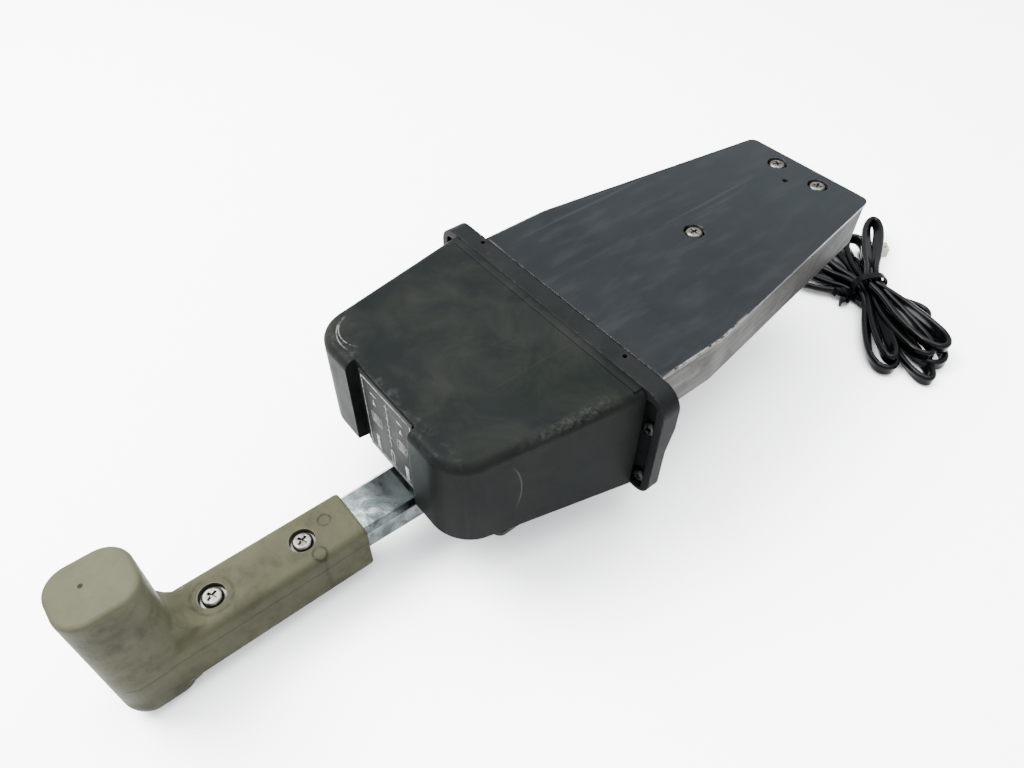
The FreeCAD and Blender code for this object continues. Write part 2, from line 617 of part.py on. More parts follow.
# ---------------------------------------------------------------- spindle, collars and crank
def make_spindle():
    body = post(PIVOT_X, AXIS_Y, 0.6, SPINDLE_TOP, SPINDLE_R)
    body = fused([body, post(PIVOT_X, AXIS_Y, SPINDLE_TOP - 1, SPINDLE_TOP + 6, 4)])
    return body.cut(rod_y(-60, 60, PIVOT_X, 30, 2.03))


def make_crank():
    crank_z = TROUGH_BOTTOM + SHEET + 2.6
    arm = outline([(PIVOT_X - 11, AXIS_Y - 11), (PIVOT_X + 11, AXIS_Y - 11),
                   (PIVOT_X + 7, AXIS_Y + CRANK + 7), (PIVOT_X - 7, AXIS_Y + CRANK + 7)],
                  [9, 9, 5, 5], crank_z, SPINDLE_TOP - crank_z)
    return cut_all(arm, [post(PIVOT_X, AXIS_Y, 0, 100, SPINDLE_R + 0.05),
                         post(PIVOT_X, AXIS_Y + CRANK, 0, 100, 2.03)])


def collar(z0, z1):
    """Shaft collar with the hole of its set screw."""
    body = ring(PIVOT_X, AXIS_Y, z0, z1, 10, SPINDLE_R + 0.05)
    return body.cut(rod_x(PIVOT_X - 11, PIVOT_X, AXIS_Y, (z0 + z1) / 2, 1.0))


parts["pivot_spindle"] = make_spindle()
parts["hub_pin"] = rod_y(AXIS_Y - 17.8, AXIS_Y + 17.8, PIVOT_X, 30, 2.0)
parts["lower_collar"] = collar(4.65, 9.5)
parts["upper_collar"] = collar(QUADRANT_TOP, top_z0 - 1.65)
parts["crank_arm"] = make_crank()
parts["crank_nut"] = placed(nut(13, 4.5, 4.05), (PIVOT_X, AXIS_Y, SPINDLE_TOP))
parts["crank_pin"] = post(PIVOT_X, BAR_Y, TROUGH_BOTTOM + SHEET + 2.6, BAR_Z1 + 2.6, 2.0)
parts["crank_roller"] = ring(PIVOT_X, BAR_Y, SPINDLE_TOP + 0.15, BAR_Z1 + 1.2, 3.0, 2.03)


# ---------------------------------------------------------------- selector bar and switch
def make_selector_bar():
    bar = rounded_box(PIVOT_X - 10, GUIDES_X[1] + 12, BAR_Y - BAR_HALF, BAR_Y + BAR_HALF, BAR_Z0, BAR_Z1, 3)
    slot = rounded_box(PIVOT_X - 3.12, PIVOT_X + 3.12, BAR_Y - 4.6, BAR_Y + 3.5, 0, 100, 3.0)
    tools = [slot]
    for dx in (-6, 6):
        tools.append(post(CONTACT_X + dx, BAR_Y, 0, 100, 1.55))
    return cut_all(bar, tools)


def make_guides():
    floor = TROUGH_BOTTOM + SHEET
    guides = []
    for x in GUIDES_X:
        block = centred(x, BAR_Y, 8, 26, floor, 88)
        guides.append(block.cut(centred(x, BAR_Y, 20, 2 * BAR_HALF + 0.12, BAR_Z0 - 0.08, BAR_Z1 + 0.08)))
    return group(guides)


def make_board():
    board = rounded_box(BOARD_X0, BOARD_X1, BOARD_Y0, BOARD_Y1, BOARD_Z, BOARD_Z + BOARD_T, 2)
    for x, y in BOARD_HOLES:
        board = board.cut(post(x, y, 0, 100, 1.6))
    return board


BOARD_HOLES = [(x, y) for x in (BOARD_X0 + 4, BOARD_X1 - 16) for y in (BOARD_Y0 + 3.5, BOARD_Y1 - 3.5)]
board_top = BOARD_Z + BOARD_T
floor_z = TROUGH_BOTTOM + SHEET
carriage = cut_all(centred(CONTACT_X, BAR_Y, 20, 14, BAR_Z1, 90),
                   [post(CONTACT_X + dx, BAR_Y, 0, 100, 1.6) for dx in (-6, 6)])
wiper_arm = centred(CONTACT_X, AXIS_Y + 6, 6, 24, 90, 90.6)
wiper_legs = [centred(CONTACT_X + dx, AXIS_Y - 5, 1.6, 2, board_top + 0.65, 90.1) for dx in (-1.9, 1.9)]
parts["selector_bar"] = make_selector_bar()
parts["bar_guides"] = make_guides()
parts["contact_carriage"] = carriage
parts["wiper_contacts"] = fused([wiper_arm, centred(CONTACT_X, BAR_Y, 6, 12, 90, 90.6)] + wiper_legs)
parts["carriage_screws"] = group([placed(pan_screw(2.8, 1.8, 1.5, 8), (CONTACT_X + dx, BAR_Y, 90.0))
                                  for dx in (-6, 6)])
parts["switch_board"] = make_board()
parts["board_pillars"] = group([ring(x, y, floor_z, BOARD_Z, 2.8, 1.5) for x, y in BOARD_HOLES])
parts["board_screws"] = group([placed(pan_screw(2.7, 1.7, 1.45, 4.5), (x, y, board_top))
                               for x, y in BOARD_HOLES])
parts["contact_strips"] = group([centred(CONTACT_X + i * CONTACT_STEP, AXIS_Y - 5, 3.8, 10,
                                         board_top, board_top + 0.5) for i in (-1, 0, 1)])
parts["switch_terminals"] = cut_all(
    box(BOARD_X1 - 11, BOARD_X1, AXIS_Y - 9, AXIS_Y + 9, board_top, board_top + 9),
    [post(BOARD_X1 - 5.5, AXIS_Y + dy, board_top + 3, board_top + 10, 2.6) for dy in (-4.5, 4.5)]
    + [rod_x(BOARD_X1 - 7, BOARD_X1 + 1, AXIS_Y + dy, LEAD_Z + 2, 1.3) for dy in (-4.5, 4.5)])
parts["terminal_screws"] = group([placed(pan_screw(2.5, 1.6, 1.2, 0.4), (BOARD_X1 - 5.5, AXIS_Y + dy,
                                                                        board_top + 5.6))
                                  for dy in (-4.5, 4.5)])


# ---------------------------------------------------------------- lead
def path_wire(points):
    """Straight runs joined by tangent arcs, each as large as its two runs allow."""
    corners = [V(*p) for p in points]
    edges = []
    last = corners[0]
    for before, here, after in zip(corners, corners[1:], corners[2:]):
        a = (before - here).normalize()
        b = (after - here).normalize()
        half = math.acos(max(-1.0, min(1.0, a.dot(b)))) / 2
        reach = 0.45 * min((before - here).Length, (after - here).Length)
        r = reach * math.tan(half)
        centre = here + (a + b).normalize() * (r / math.sin(half))
        first = here + a * reach
        middle = centre + (here - centre).normalize() * r
        edges.append(Part.LineSegment(last, first).toShape())
        edges.append(Part.Arc(first, middle, here + b * reach).toShape())
        print("bend radius", round(r, 1))
        last = here + b * reach
    edges.append(Part.LineSegment(last, corners[-1]).toShape())
    return Part.Wire(edges)


def tube(points, r):
    wire = path_wire(points)
    direction = (V(*points[1]) - V(*points[0])).normalize()
    section = Part.Wire(Part.makeCircle(r, V(*points[0]), direction))
    pipe = wire.makePipeShell([section], True, False)
    print("tube", round(wire.Length, 1), "mm, volume share", round(pipe.Volume / (math.pi * r * r * wire.Length), 3))
    return pipe


def make_grommet():
    wall_in = FAR_X - 0.4 - SHEET
    wall_out = FAR_X - 0.4
    neck = rod_x(wall_in, wall_out, AXIS_Y, LEAD_Z, GROMMET_NECK_R)
    inner = rod_x(wall_in - 2, wall_in, AXIS_Y, LEAD_Z, 7)
    outer = rod_x(wall_out, wall_out + 2, AXIS_Y, LEAD_Z, 7)
    sleeve = Part.makeCone(5.2, 4.2, 8, V(wall_out + 2, AXIS_Y, LEAD_Z), V(1, 0, 0))
    body = fused([neck, inner, outer, sleeve])
    return body.cut(rod_x(wall_in - 5, wall_out + 30, AXIS_Y, LEAD_Z, CORD_R + 0.05))


CORD_R = CORD_W / 2
LEAD_POINTS = [(CLAMP_X0 + 1, AXIS_Y, LEAD_Z), (214, AXIS_Y, LEAD_Z + 0.01), (251, AXIS_Y, LEAD_Z - 1),
               (268, AXIS_Y + 1.5, 52), (270, AXIS_Y + 3, 22), (281, AXIS_Y, 3.2), (304, AXIS_Y - 7, 3.2)]
clamp_top = LEAD_Z + 5
clamp_body = centred((CLAMP_X0 + CLAMP_X1) / 2, AXIS_Y, CLAMP_X1 - CLAMP_X0, 26, floor_z, clamp_top)
clamp_holes = [post((CLAMP_X0 + CLAMP_X1) / 2, AXIS_Y + dy, floor_z, clamp_top + 1, 1.55) for dy in (-9, 9)]
parts["cord_clamp"] = cut_all(clamp_body, [rod_x(CLAMP_X0 - 1, CLAMP_X1 + 1, AXIS_Y, LEAD_Z, CORD_R + 0.05)]
                              + clamp_holes)
parts["clamp_screws"] = group([placed(pan_screw(2.8, 1.9, 1.5, 9), ((CLAMP_X0 + CLAMP_X1) / 2, AXIS_Y + dy,
                                                                  clamp_top)) for dy in (-9, 9)])
parts["switch_leads"] = group([tube([(BOARD_X1 - 5, AXIS_Y + side * 4.5, LEAD_Z + 2),
                                     (BOARD_X1 + 12, AXIS_Y + side * 4.5, LEAD_Z + 2),
                                     (120, AXIS_Y + side * 11, LEAD_Z), (145, AXIS_Y + side * 9, LEAD_Z),
                                     (164, AXIS_Y + side * 1.7, LEAD_Z), (CLAMP_X0 + 0.9, AXIS_Y + side * 1.6,
                                                                         LEAD_Z)], 1.2)
                               for side in (-1, 1)])
parts["cord_grommet"] = make_grommet()
parts["cord_lead"] = tube(LEAD_POINTS, CORD_R)
HANK_H = 20.0
hank = outline([(214, -98), (220, -128), (262, -128), (290, -104), (291, -72), (290, -56), (318, -38),
                (346, -14), (345, 4), (318, 18), (262, 10), (238, -20), (252, -44), (238, -66)],
               [8, 10, 12, 12, 10, 6, 10, 8, 8, 10, 10, 10, 6, 10], 0, HANK_H)
plug_pocket = placed(box(-6, 8.5, -5.2, 5.2, -1, 9.2), (323, -27, 0), spin=-42)
hank = hank.cut(plug_pocket)
parts["cord_hank"] = hank
parts["hank_tie"] = placed(rounded_box(-23, 23, -2.5, 2.5, 0.3, HANK_H + 1.2, 0.8), (271, -50, 0),
                           spin=-17.5).cut(hank)
plug_body = fused([box(-7, 7, -4.2, 4.2, 0, 7), box(-3, 5, -2, 2, 6.5, 8.2)])
plug_body = cut_all(plug_body, [rod_x(1, 8, dy, 3.5, 1.1) for dy in (-2.2, 2.2)])
parts["lead_plug"] = placed(plug_body, (323, -27, 0), spin=-42)

for name, node_shape in parts.items():
    node_shape.exportStep("parts/" + name + ".step")
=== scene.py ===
import json
import math

import bmesh
import bpy
from mathutils import Matrix, Vector


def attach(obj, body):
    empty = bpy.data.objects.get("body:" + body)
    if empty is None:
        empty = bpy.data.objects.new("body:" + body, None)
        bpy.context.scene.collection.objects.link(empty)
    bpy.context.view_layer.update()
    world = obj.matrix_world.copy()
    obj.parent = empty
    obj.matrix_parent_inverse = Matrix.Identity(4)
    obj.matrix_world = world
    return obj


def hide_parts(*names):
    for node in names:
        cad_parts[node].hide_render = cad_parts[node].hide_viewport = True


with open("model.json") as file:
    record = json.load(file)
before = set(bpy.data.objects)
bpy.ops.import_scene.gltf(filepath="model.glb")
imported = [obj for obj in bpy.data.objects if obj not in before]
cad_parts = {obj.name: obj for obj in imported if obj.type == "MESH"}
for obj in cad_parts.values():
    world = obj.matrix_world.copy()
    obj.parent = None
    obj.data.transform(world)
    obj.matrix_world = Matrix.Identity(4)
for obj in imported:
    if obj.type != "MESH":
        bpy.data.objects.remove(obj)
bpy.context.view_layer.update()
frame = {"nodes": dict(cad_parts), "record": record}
nodes = frame["nodes"]
scene = bpy.context.scene

AXIS_Y = -0.0065
HOOD_TOP = 0.0990
SEAM_Z = 0.0312           # parting line of the grip


# ---------------------------------------------------------------- material tools
class Mat:
    """A node material with short helpers."""

    def __init__(self, name):
        self.mat = bpy.data.materials.new(name)
        self.mat.use_nodes = True
        self.tree = self.mat.node_tree
        self.tree.nodes.clear()
        self.out = self.add("ShaderNodeOutputMaterial")
        self.bsdf = self.add("ShaderNodeBsdfPrincipled")
        self.link(self.bsdf.outputs[0], self.out.inputs[0])
        self.coord = self.add("ShaderNodeTexCoord").outputs["Object"]
        self.heights = []

    def add(self, kind):
        return self.tree.nodes.new(kind)

    def link(self, a, b):
        self.tree.links.new(a, b)

    def put(self, value, socket):
        if isinstance(value, (int, float)):
            socket.default_value = value
        elif isinstance(value, tuple):
            socket.default_value = value if len(value) == 4 or len(socket.default_value) == 3 else (*value, 1)
        else:
            self.link(value, socket)

    def mapped(self, scale=(1, 1, 1), rotate=(0, 0, 0), move=(0, 0, 0)):
        node = self.add("ShaderNodeMapping")
        self.link(self.coord, node.inputs[0])
        node.inputs["Scale"].default_value = scale
        node.inputs["Rotation"].default_value = [math.radians(a) for a in rotate]
        node.inputs["Location"].default_value = move
        return node.outputs[0]

    def noise(self, scale, detail=6, rough=0.55, at=None, distort=0.0):
        node = self.add("ShaderNodeTexNoise")
        self.link(at or self.coord, node.inputs["Vector"])
        node.inputs["Scale"].default_value = scale
        node.inputs["Detail"].default_value = detail
        node.inputs["Roughness"].default_value = rough
        node.inputs["Distortion"].default_value = distort
        return node.outputs[0]

    def span(self, value, low, high, to_low=0.0, to_high=1.0):
        node = self.add("ShaderNodeMapRange")
        node.clamp = True
        self.link(value, node.inputs[0])
        for i, v in enumerate((low, high, to_low, to_high)):
            node.inputs[i + 1].default_value = v
        return node.outputs[0]

    def math(self, how, a, b=0.5, clamp=False):
        node = self.add("ShaderNodeMath")
        node.operation = how
        node.use_clamp = clamp
        self.put(a, node.inputs[0])
        self.put(b, node.inputs[1])
        return node.outputs[0]

    def times(self, a, b):
        return self.math("MULTIPLY", a, b)

    def most(self, a, b):
        return self.math("MAXIMUM", a, b)

    def minus(self, a, b):
        return self.math("SUBTRACT", a, b)

    def mix(self, share, a, b):
        node = self.add("ShaderNodeMix")
        node.data_type = "RGBA"
        self.put(share, node.inputs[0])
        self.put(a, node.inputs[6])
        self.put(b, node.inputs[7])
        return node.outputs[2]

    def axis(self, name):
        node = self.add("ShaderNodeSeparateXYZ")
        self.link(self.coord, node.inputs[0])
        return node.outputs[name]

    def near(self, point, radius, soft=0.5):
        """1 inside a ball round point, 0 outside."""
        node = self.add("ShaderNodeVectorMath")
        node.operation = "DISTANCE"
        self.link(self.coord, node.inputs[0])
        node.inputs[1].default_value = point
        return self.span(node.outputs["Value"], radius * (1 - soft), radius, 1.0, 0.0)

    def ring(self, point, radius, width):
        """1 on a ring about a vertical axis through point."""
        x = self.minus(self.axis("X"), point[0])
        y = self.minus(self.axis("Y"), point[1])
        r = self.math("SQRT", self.math("ADD", self.times(x, x), self.times(y, y)))
        off = self.math("ABSOLUTE", self.minus(r, radius))
        return self.span(off, width * 0.3, width, 1.0, 0.0)

    def side_ring(self, point, radius, width):
        """1 on a ring about an axis along Y through point, given as x and z."""
        x = self.minus(self.axis("X"), point[0])
        z = self.minus(self.axis("Z"), point[1])
        r = self.math("SQRT", self.math("ADD", self.times(x, x), self.times(z, z)))
        off = self.math("ABSOLUTE", self.minus(r, radius))
        return self.span(off, width * 0.3, width, 1.0, 0.0)

    def edge(self, radius, low=0.02, high=0.25):
        """1 along sharp edges, from how far a rounded normal turns from the real one."""
        bevel = self.add("ShaderNodeBevel")
        bevel.samples = 6
        bevel.inputs[0].default_value = radius
        geo = self.add("ShaderNodeNewGeometry")
        dot = self.add("ShaderNodeVectorMath")
        dot.operation = "DOT_PRODUCT"
        self.link(bevel.outputs[0], dot.inputs[0])
        self.link(geo.outputs["Normal"], dot.inputs[1])
        return self.span(dot.outputs["Value"], 1 - high, 1 - low, 1.0, 0.0)

    def scratches(self, scale, thin, rotate, stretch=40.0, cut=0.72, move=(0, 0, 0)):
        """Long thin marks along one direction."""
        at = self.mapped((scale, scale * stretch, scale), rotate, move)
        lines = self.noise(1.0, 2, 0.4, at)
        return self.span(lines, cut, cut + thin)

    def up(self):
        geo = self.add("ShaderNodeNewGeometry")
        node = self.add("ShaderNodeSeparateXYZ")
        self.link(geo.outputs["Normal"], node.inputs[0])
        return node.outputs[2]

    def raise_(self, value, amount):
        self.heights.append((value, amount))

    def done(self, color, rough, metal=0.0, spec=0.5, coat=0.0, coat_rough=0.1, round_=0.0, bump=1.0):
        inputs = self.bsdf.inputs
        self.put(color, inputs["Base Color"])
        self.put(rough, inputs["Roughness"])
        self.put(metal, inputs["Metallic"])
        self.put(spec, inputs["Specular IOR Level"])
        self.put(coat, inputs["Coat Weight"])
        self.put(coat_rough, inputs["Coat Roughness"])
        normal = None
        if round_ > 0:
            bevel = self.add("ShaderNodeBevel")
            bevel.samples = 6
            bevel.inputs[0].default_value = round_
            normal = bevel.outputs[0]
        for value, amount in self.heights:
            node = self.add("ShaderNodeBump")
            node.inputs["Strength"].default_value = bump
            node.inputs["Distance"].default_value = amount
            self.link(value, node.inputs["Height"])
            if normal is not None:
                self.link(normal, node.inputs["Normal"])
            normal = node.outputs[0]
        if normal is not None:
            self.link(normal, inputs["Normal"])
        return self.mat


# ---------------------------------------------------------------- materials
def hood_material():
    m = Mat("hood_plastic")
    broad = m.noise(9, 5, 0.6)
    cloud = m.noise(34, 6, 0.65, distort=0.6)
    fine = m.noise(2600, 2, 0.5)
    base = m.mix(m.span(broad, 0.35, 0.65), (0.0024, 0.0031, 0.0030), (0.0037, 0.0046, 0.0044))
    grease = m.mix(m.span(cloud, 0.44, 0.68), base, (0.0058, 0.0064, 0.0054))
    green = m.span(m.noise(16, 4, 0.6, m.mapped(move=(0.3, 0.1, 0))), 0.55, 0.7, 0, 0.5)
    tinted = m.mix(green, grease, (0.0030, 0.0041, 0.0027))
    right = m.span(m.axis("Y"), -0.060, -0.0655)
    top = m.span(m.axis("Z"), 0.0955, 0.0985)
    top_edge = m.times(top, m.near((-0.036, -0.0640, 0.0980), 0.046, 0.8))
    band = m.times(m.times(right, top_edge), m.span(m.noise(420, 5, 0.75), 0.44, 0.62, 0.05, 1.0))
    nose = m.times(m.span(m.axis("X"), -0.0655, -0.0705), top)
    nose = m.times(nose, m.span(m.noise(200, 5, 0.75), 0.52, 0.70, 0, 0.7))
    arcs = m.most(m.ring((-0.0560, 0.0400), 0.0135, 0.0004), m.ring((-0.0545, 0.0372), 0.0172, 0.0004))
    arcs = m.times(arcs, m.near((-0.0685, 0.0440, 0.0990), 0.013, 0.5))
    arcs = m.times(arcs, m.span(m.noise(420, 3, 0.6), 0.36, 0.52))
    curl = m.times(m.span(m.axis("Y"), -0.058, -0.0605), m.side_ring((-0.0800, 0.0700), 0.0365, 0.0005))
    curl = m.times(curl, m.near((-0.0440, -0.0660, 0.0720), 0.018, 0.4))
    hair = m.scratches(4, 0.010, (10, 0, -22), 80, 0.72, (0.4, 0, 0))
    marks = m.most(m.most(m.times(band, 0.055), m.times(nose, 0.04)),
                   m.most(m.times(arcs, 0.16),
                          m.most(m.times(curl, 0.05), m.times(hair, 0.003))))
    color = m.mix(marks, tinted, (0.30, 0.31, 0.29))
    slant = m.math("ADD", m.axis("X"), m.times(m.math("ADD", m.axis("Y"), 0.067), 0.5))
    nicks = 0.0
    for x in (-0.0235, -0.0195, -0.0134, -0.0048):
        off = m.math("ABSOLUTE", m.minus(slant, x))
        nicks = m.most(nicks, m.span(off, 0.0002, 0.0006, 1, 0))
    beside = m.math("ABSOLUTE", m.math("ADD", m.axis("Y"), 0.0672))
    nicks = m.times(nicks, m.span(beside, 0.0016, 0.0022, 1, 0))
    nicks = m.times(nicks, m.span(m.axis("Z"), 0.0920, 0.0940))
    color = m.mix(m.times(nicks, 0.9), color, (0.003, 0.003, 0.003))
    rough = m.span(cloud, 0.3, 0.7, 0.40, 0.54)
    rough = m.math("ADD", rough, m.times(marks, 0.2))
    m.raise_(fine, 0.00003)
    m.raise_(cloud, 0.00006)
    return m.done(color, rough, spec=0.013, round_=0.0008)


def flange_material():
    m = Mat("flange_plastic")
    cloud = m.noise(40, 5, 0.6)
    wear = m.times(m.edge(0.0012, 0.01, 0.2), m.span(m.noise(260, 4, 0.7), 0.48, 0.64))
    dust = m.span(m.noise(150, 5, 0.75), 0.58, 0.74, 0, 0.25)
    color = m.mix(m.span(cloud, 0.35, 0.65), (0.0023, 0.0028, 0.0028), (0.0038, 0.0044, 0.0044))
    color = m.mix(dust, color, (0.014, 0.0145, 0.0135))
    color = m.mix(m.times(wear, 0.06), color, (0.22, 0.22, 0.21))
    m.raise_(m.noise(1500, 3, 0.6), 0.00004)
    return m.done(color, m.span(cloud, 0.3, 0.7, 0.40, 0.56), spec=0.022, round_=0.0012)


def cover_material():
    m = Mat("plate_coat")
    cloud = m.noise(22, 6, 0.62, distort=0.4)
    diagonal = m.noise(1.0, 5, 0.62, m.mapped((30, 130, 30), (0, 0, 38)))
    fine = m.noise(1.0, 3, 0.6, m.mapped((240, 1500, 240), (0, 0, 34)))
    # Painted light: the coat gets lighter towards the far end (X 0.040 to 0.220).
    painted_far_shading = m.span(m.axis("X"), 0.040, 0.220)
    base = m.mix(painted_far_shading, (0.0016, 0.0023, 0.0028), (0.0036, 0.0046, 0.0054))
    base = m.mix(m.span(cloud, 0.36, 0.66, 0, 0.45), base, (0.0048, 0.0058, 0.0066))
    base = m.mix(m.span(diagonal, 0.50, 0.66, 0, 0.55), base, (0.0060, 0.0070, 0.0080))
    base = m.mix(m.span(fine, 0.62, 0.76, 0, 0.12), base, (0.018, 0.0195, 0.0205))
    hair = m.scratches(6, 0.010, (0, 0, 38), 60, 0.71)
    base = m.mix(m.times(hair, 0.03), base, (0.10, 0.105, 0.105))
    dark = m.span(m.noise(60, 5, 0.7, m.mapped(move=(1, 0, 0))), 0.60, 0.72, 0, 0.35)
    base = m.mix(dark, base, (0.0022, 0.0026, 0.0030))
    top = m.span(m.up(), 0.55, 0.75)
    nick = m.times(m.edge(0.0014, 0.01, 0.2), m.span(m.noise(380, 4, 0.72), 0.47, 0.60))
    thin = m.edge(0.0020, 0.02, 0.30)
    right = m.times(m.near((0.0640, -0.0690, 0.1000), 0.034, 0.5), m.span(m.noise(300, 4, 0.7), 0.42, 0.50))
    left = m.times(m.near((0.0620, 0.0600, 0.1000), 0.036, 0.5), m.span(m.noise(380, 4, 0.7), 0.42, 0.50))
    right = m.times(right, thin)
    left = m.times(left, thin)
    bare = m.mix(m.span(m.noise(300, 4, 0.6), 0.4, 0.6), (0.015, 0.015, 0.014), (0.060, 0.058, 0.053))
    painted = m.mix(m.times(nick, 0.05), base, (0.10, 0.098, 0.09))
    painted = m.mix(m.times(m.most(right, left), 0.8), painted, (0.26, 0.25, 0.23))
    color = m.mix(top, bare, painted)
    metal = m.times(m.minus(1.0, top), 0.7)
    rough = m.span(diagonal, 0.3, 0.7, 0.38, 0.52)
    m.raise_(cloud, 0.00018)
    m.raise_(diagonal, 0.00010)
    m.raise_(fine, 0.000012)
    return m.done(color, rough, metal, spec=0.045, round_=0.0006)


def galvanised_material():
    m = Mat("galvanised")
    streak = m.noise(1.0, 5, 0.6, m.mapped((14, 14, 300)))
    long_ = m.noise(1.0, 4, 0.6, m.mapped((60, 60, 900)))
    stain = m.noise(45, 6, 0.68, distort=0.8)
    # Painted shade: both streak tones get much darker towards the far end (X 0.060 to 0.210).
    painted_far_shading = m.span(m.axis("X"), 0.060, 0.210)
    light = m.mix(painted_far_shading, (0.062, 0.0610, 0.0560), (0.0036, 0.0035, 0.0026))
    shade = m.mix(painted_far_shading, (0.032, 0.0312, 0.0285), (0.0019, 0.0018, 0.0013))
    color = m.mix(m.span(streak, 0.35, 0.65), shade, light)
    color = m.mix(m.span(stain, 0.50, 0.70, 0, 0.5), color, (0.0070, 0.0065, 0.0050))
    color = m.mix(m.span(long_, 0.58, 0.72, 0, 0.25), color, (0.034, 0.0335, 0.0300))
    rough = m.span(stain, 0.3, 0.7, 0.36, 0.52)
    m.raise_(long_, 0.00003)
    m.raise_(stain, 0.00010)
    return m.done(color, rough, spec=0.015, round_=0.0012)


def chrome_material():
    m = Mat("lever_chrome")
    cloud = m.noise(75, 6, 0.66, distort=1.4)
    spots = m.noise(240, 5, 0.75)
    color = m.mix(m.span(cloud, 0.40, 0.62), (0.105, 0.120, 0.122), (0.022, 0.028, 0.030))
    color = m.mix(m.span(m.noise(38, 5, 0.7, m.mapped(move=(0.2, 0, 0.4))), 0.54, 0.68, 0, 0.5), color,
                  (0.034, 0.033, 0.027))
    color = m.mix(m.span(spots, 0.60, 0.72, 0, 0.6), color, (0.020, 0.0185, 0.015))
    rough = m.span(cloud, 0.36, 0.68, 0.10, 0.34)
    m.raise_(cloud, 0.00006)
    return m.done(color, rough, 1.0, round_=0.0006)


def rubber_material():
    m = Mat("grip_rubber")
    cloud = m.noise(26, 5, 0.62, distort=0.5)
    smear = m.noise(70, 6, 0.7, distort=0.3)
    base = m.mix(m.span(cloud, 0.34, 0.66), (0.0180, 0.0178, 0.0102), (0.0300, 0.0294, 0.0176))
    base = m.mix(m.span(smear, 0.50, 0.68, 0, 0.45), base, (0.0072, 0.0066, 0.0040))
    # Painted light: the knob's top face is lighter, as if lit from above.
    painted_knob_top_light = m.times(m.span(m.axis("Z"), 0.0865, 0.0885), m.span(m.axis("X"), -0.186, -0.190))
    base = m.mix(m.times(painted_knob_top_light, 0.55), base, (0.038, 0.0374, 0.0235))
    low = m.span(m.axis("Z"), 0.022, 0.006, 0, 0.5)
    base = m.mix(m.times(low, m.span(smear, 0.4, 0.6)), base, (0.0065, 0.0060, 0.0045))
    stain = m.most(m.ring((-0.1150, -0.0030), 0.0030, 0.0008), m.ring((-0.1255, -0.0175), 0.0032, 0.0009))
    stain = m.most(stain, m.times(m.ring((-0.173, AXIS_Y), 0.0092, 0.0010), 0.6))
    stain = m.times(stain, m.span(m.noise(260, 3, 0.6), 0.36, 0.52))
    base = m.mix(m.times(stain, 0.75), base, (0.0060, 0.0058, 0.0040))
    seam = m.math("ABSOLUTE", m.minus(m.axis("Z"), SEAM_Z))
    seam = m.times(m.span(seam, 0.00018, 0.00045, 1, 0), m.span(m.up(), 0.5, 0.3))
    base = m.mix(m.times(seam, 0.55), base, (0.0060, 0.0058, 0.0040))
    base = m.mix(m.near((-0.2102, -0.0043, 0.0900), 0.0013, 0.4), base, (0.0060, 0.0056, 0.0044))
    dots = m.span(m.noise(700, 3, 0.7), 0.67, 0.73, 0, 0.5)
    base = m.mix(dots, base, (0.0060, 0.0056, 0.0044))
    # Painted highlight: a light rim along the grip's sharp edges, broken up by noise.
    painted_rim_highlight = m.times(m.edge(0.0018, 0.02, 0.25), m.span(m.noise(180, 4, 0.7), 0.40, 0.60))
    base = m.mix(m.times(painted_rim_highlight, 0.45), base, (0.075, 0.0740, 0.0540))
    rough = m.span(smear, 0.3, 0.7, 0.50, 0.66)
    m.raise_(m.noise(1900, 3, 0.6), 0.00004)
    m.raise_(cloud, 0.00015)
    return m.done(base, rough, spec=0.034)


def steel_material(name, light, dark, rough_low, rough_high, metal=1.0, scale=180, round_=0.0004):
    m = Mat(name)
    cloud = m.noise(scale, 5, 0.65)
    turned = m.noise(1.0, 3, 0.5, m.mapped((300, 300, 2600)))
    color = m.mix(m.span(cloud, 0.36, 0.64), dark, light)
    grime = m.span(m.noise(scale * 2.3, 4, 0.7), 0.58, 0.72, 0, 0.5)
    color = m.mix(grime, color, tuple(c * 0.35 for c in dark))
    m.raise_(turned, 0.00001)
    return m.done(color, m.span(cloud, 0.3, 0.7, rough_low, rough_high), metal, round_=round_)


def plastic_material(name, light, dark, rough_low, rough_high, scale=60, grain=1400, spec=0.45, coat=0.0,
                     round_=0.0005):
    m = Mat(name)
    cloud = m.noise(scale, 5, 0.62)
    color = m.mix(m.span(cloud, 0.34, 0.66), dark, light)
    m.raise_(m.noise(grain, 3, 0.6), 0.00002)
    return m.done(color, m.span(cloud, 0.3, 0.7, rough_low, rough_high), spec=spec, coat=coat, round_=round_)


def label_material():
    m = Mat("label_metal")
    cloud = m.noise(120, 5, 0.65)
    brushed = m.noise(1.0, 3, 0.6, m.mapped((1, 60, 2600)))
    color = m.mix(m.span(cloud, 0.35, 0.65), (0.0052, 0.0056, 0.0055), (0.0090, 0.0095, 0.0090))
    color = m.mix(m.span(brushed, 0.60, 0.76, 0, 0.25), color, (0.022, 0.0225, 0.021))
    worn = m.span(m.noise(210, 5, 0.75), 0.60, 0.72, 0, 0.5)
    color = m.mix(worn, color, (0.028, 0.0275, 0.025))
    m.raise_(brushed, 0.00001)
    return m.done(color, m.span(cloud, 0.3, 0.7, 0.40, 0.55), 0.0, spec=0.012, round_=0.0003)


def mark_material():
    m = Mat("label_marks")
    worn = m.span(m.noise(620, 4, 0.75), 0.38, 0.56)
    color = m.mix(worn, (0.022, 0.022, 0.021), (0.20, 0.204, 0.196))
    return m.done(color, 0.5, 0.0, spec=0.05)


def lead_material():
    m = Mat("lead_pvc")
    cloud = m.noise(40, 4, 0.6)
    dust = m.span(m.noise(420, 4, 0.7), 0.62, 0.76, 0, 0.12)
    color = m.mix(m.span(cloud, 0.35, 0.65), (0.0005, 0.0006, 0.0007), (0.0010, 0.0012, 0.0014))
    color = m.mix(dust, color, (0.006, 0.006, 0.006))
    m.raise_(m.noise(260, 3, 0.5), 0.00006)
    return m.done(color, m.span(cloud, 0.3, 0.7, 0.14, 0.24), spec=0.058)


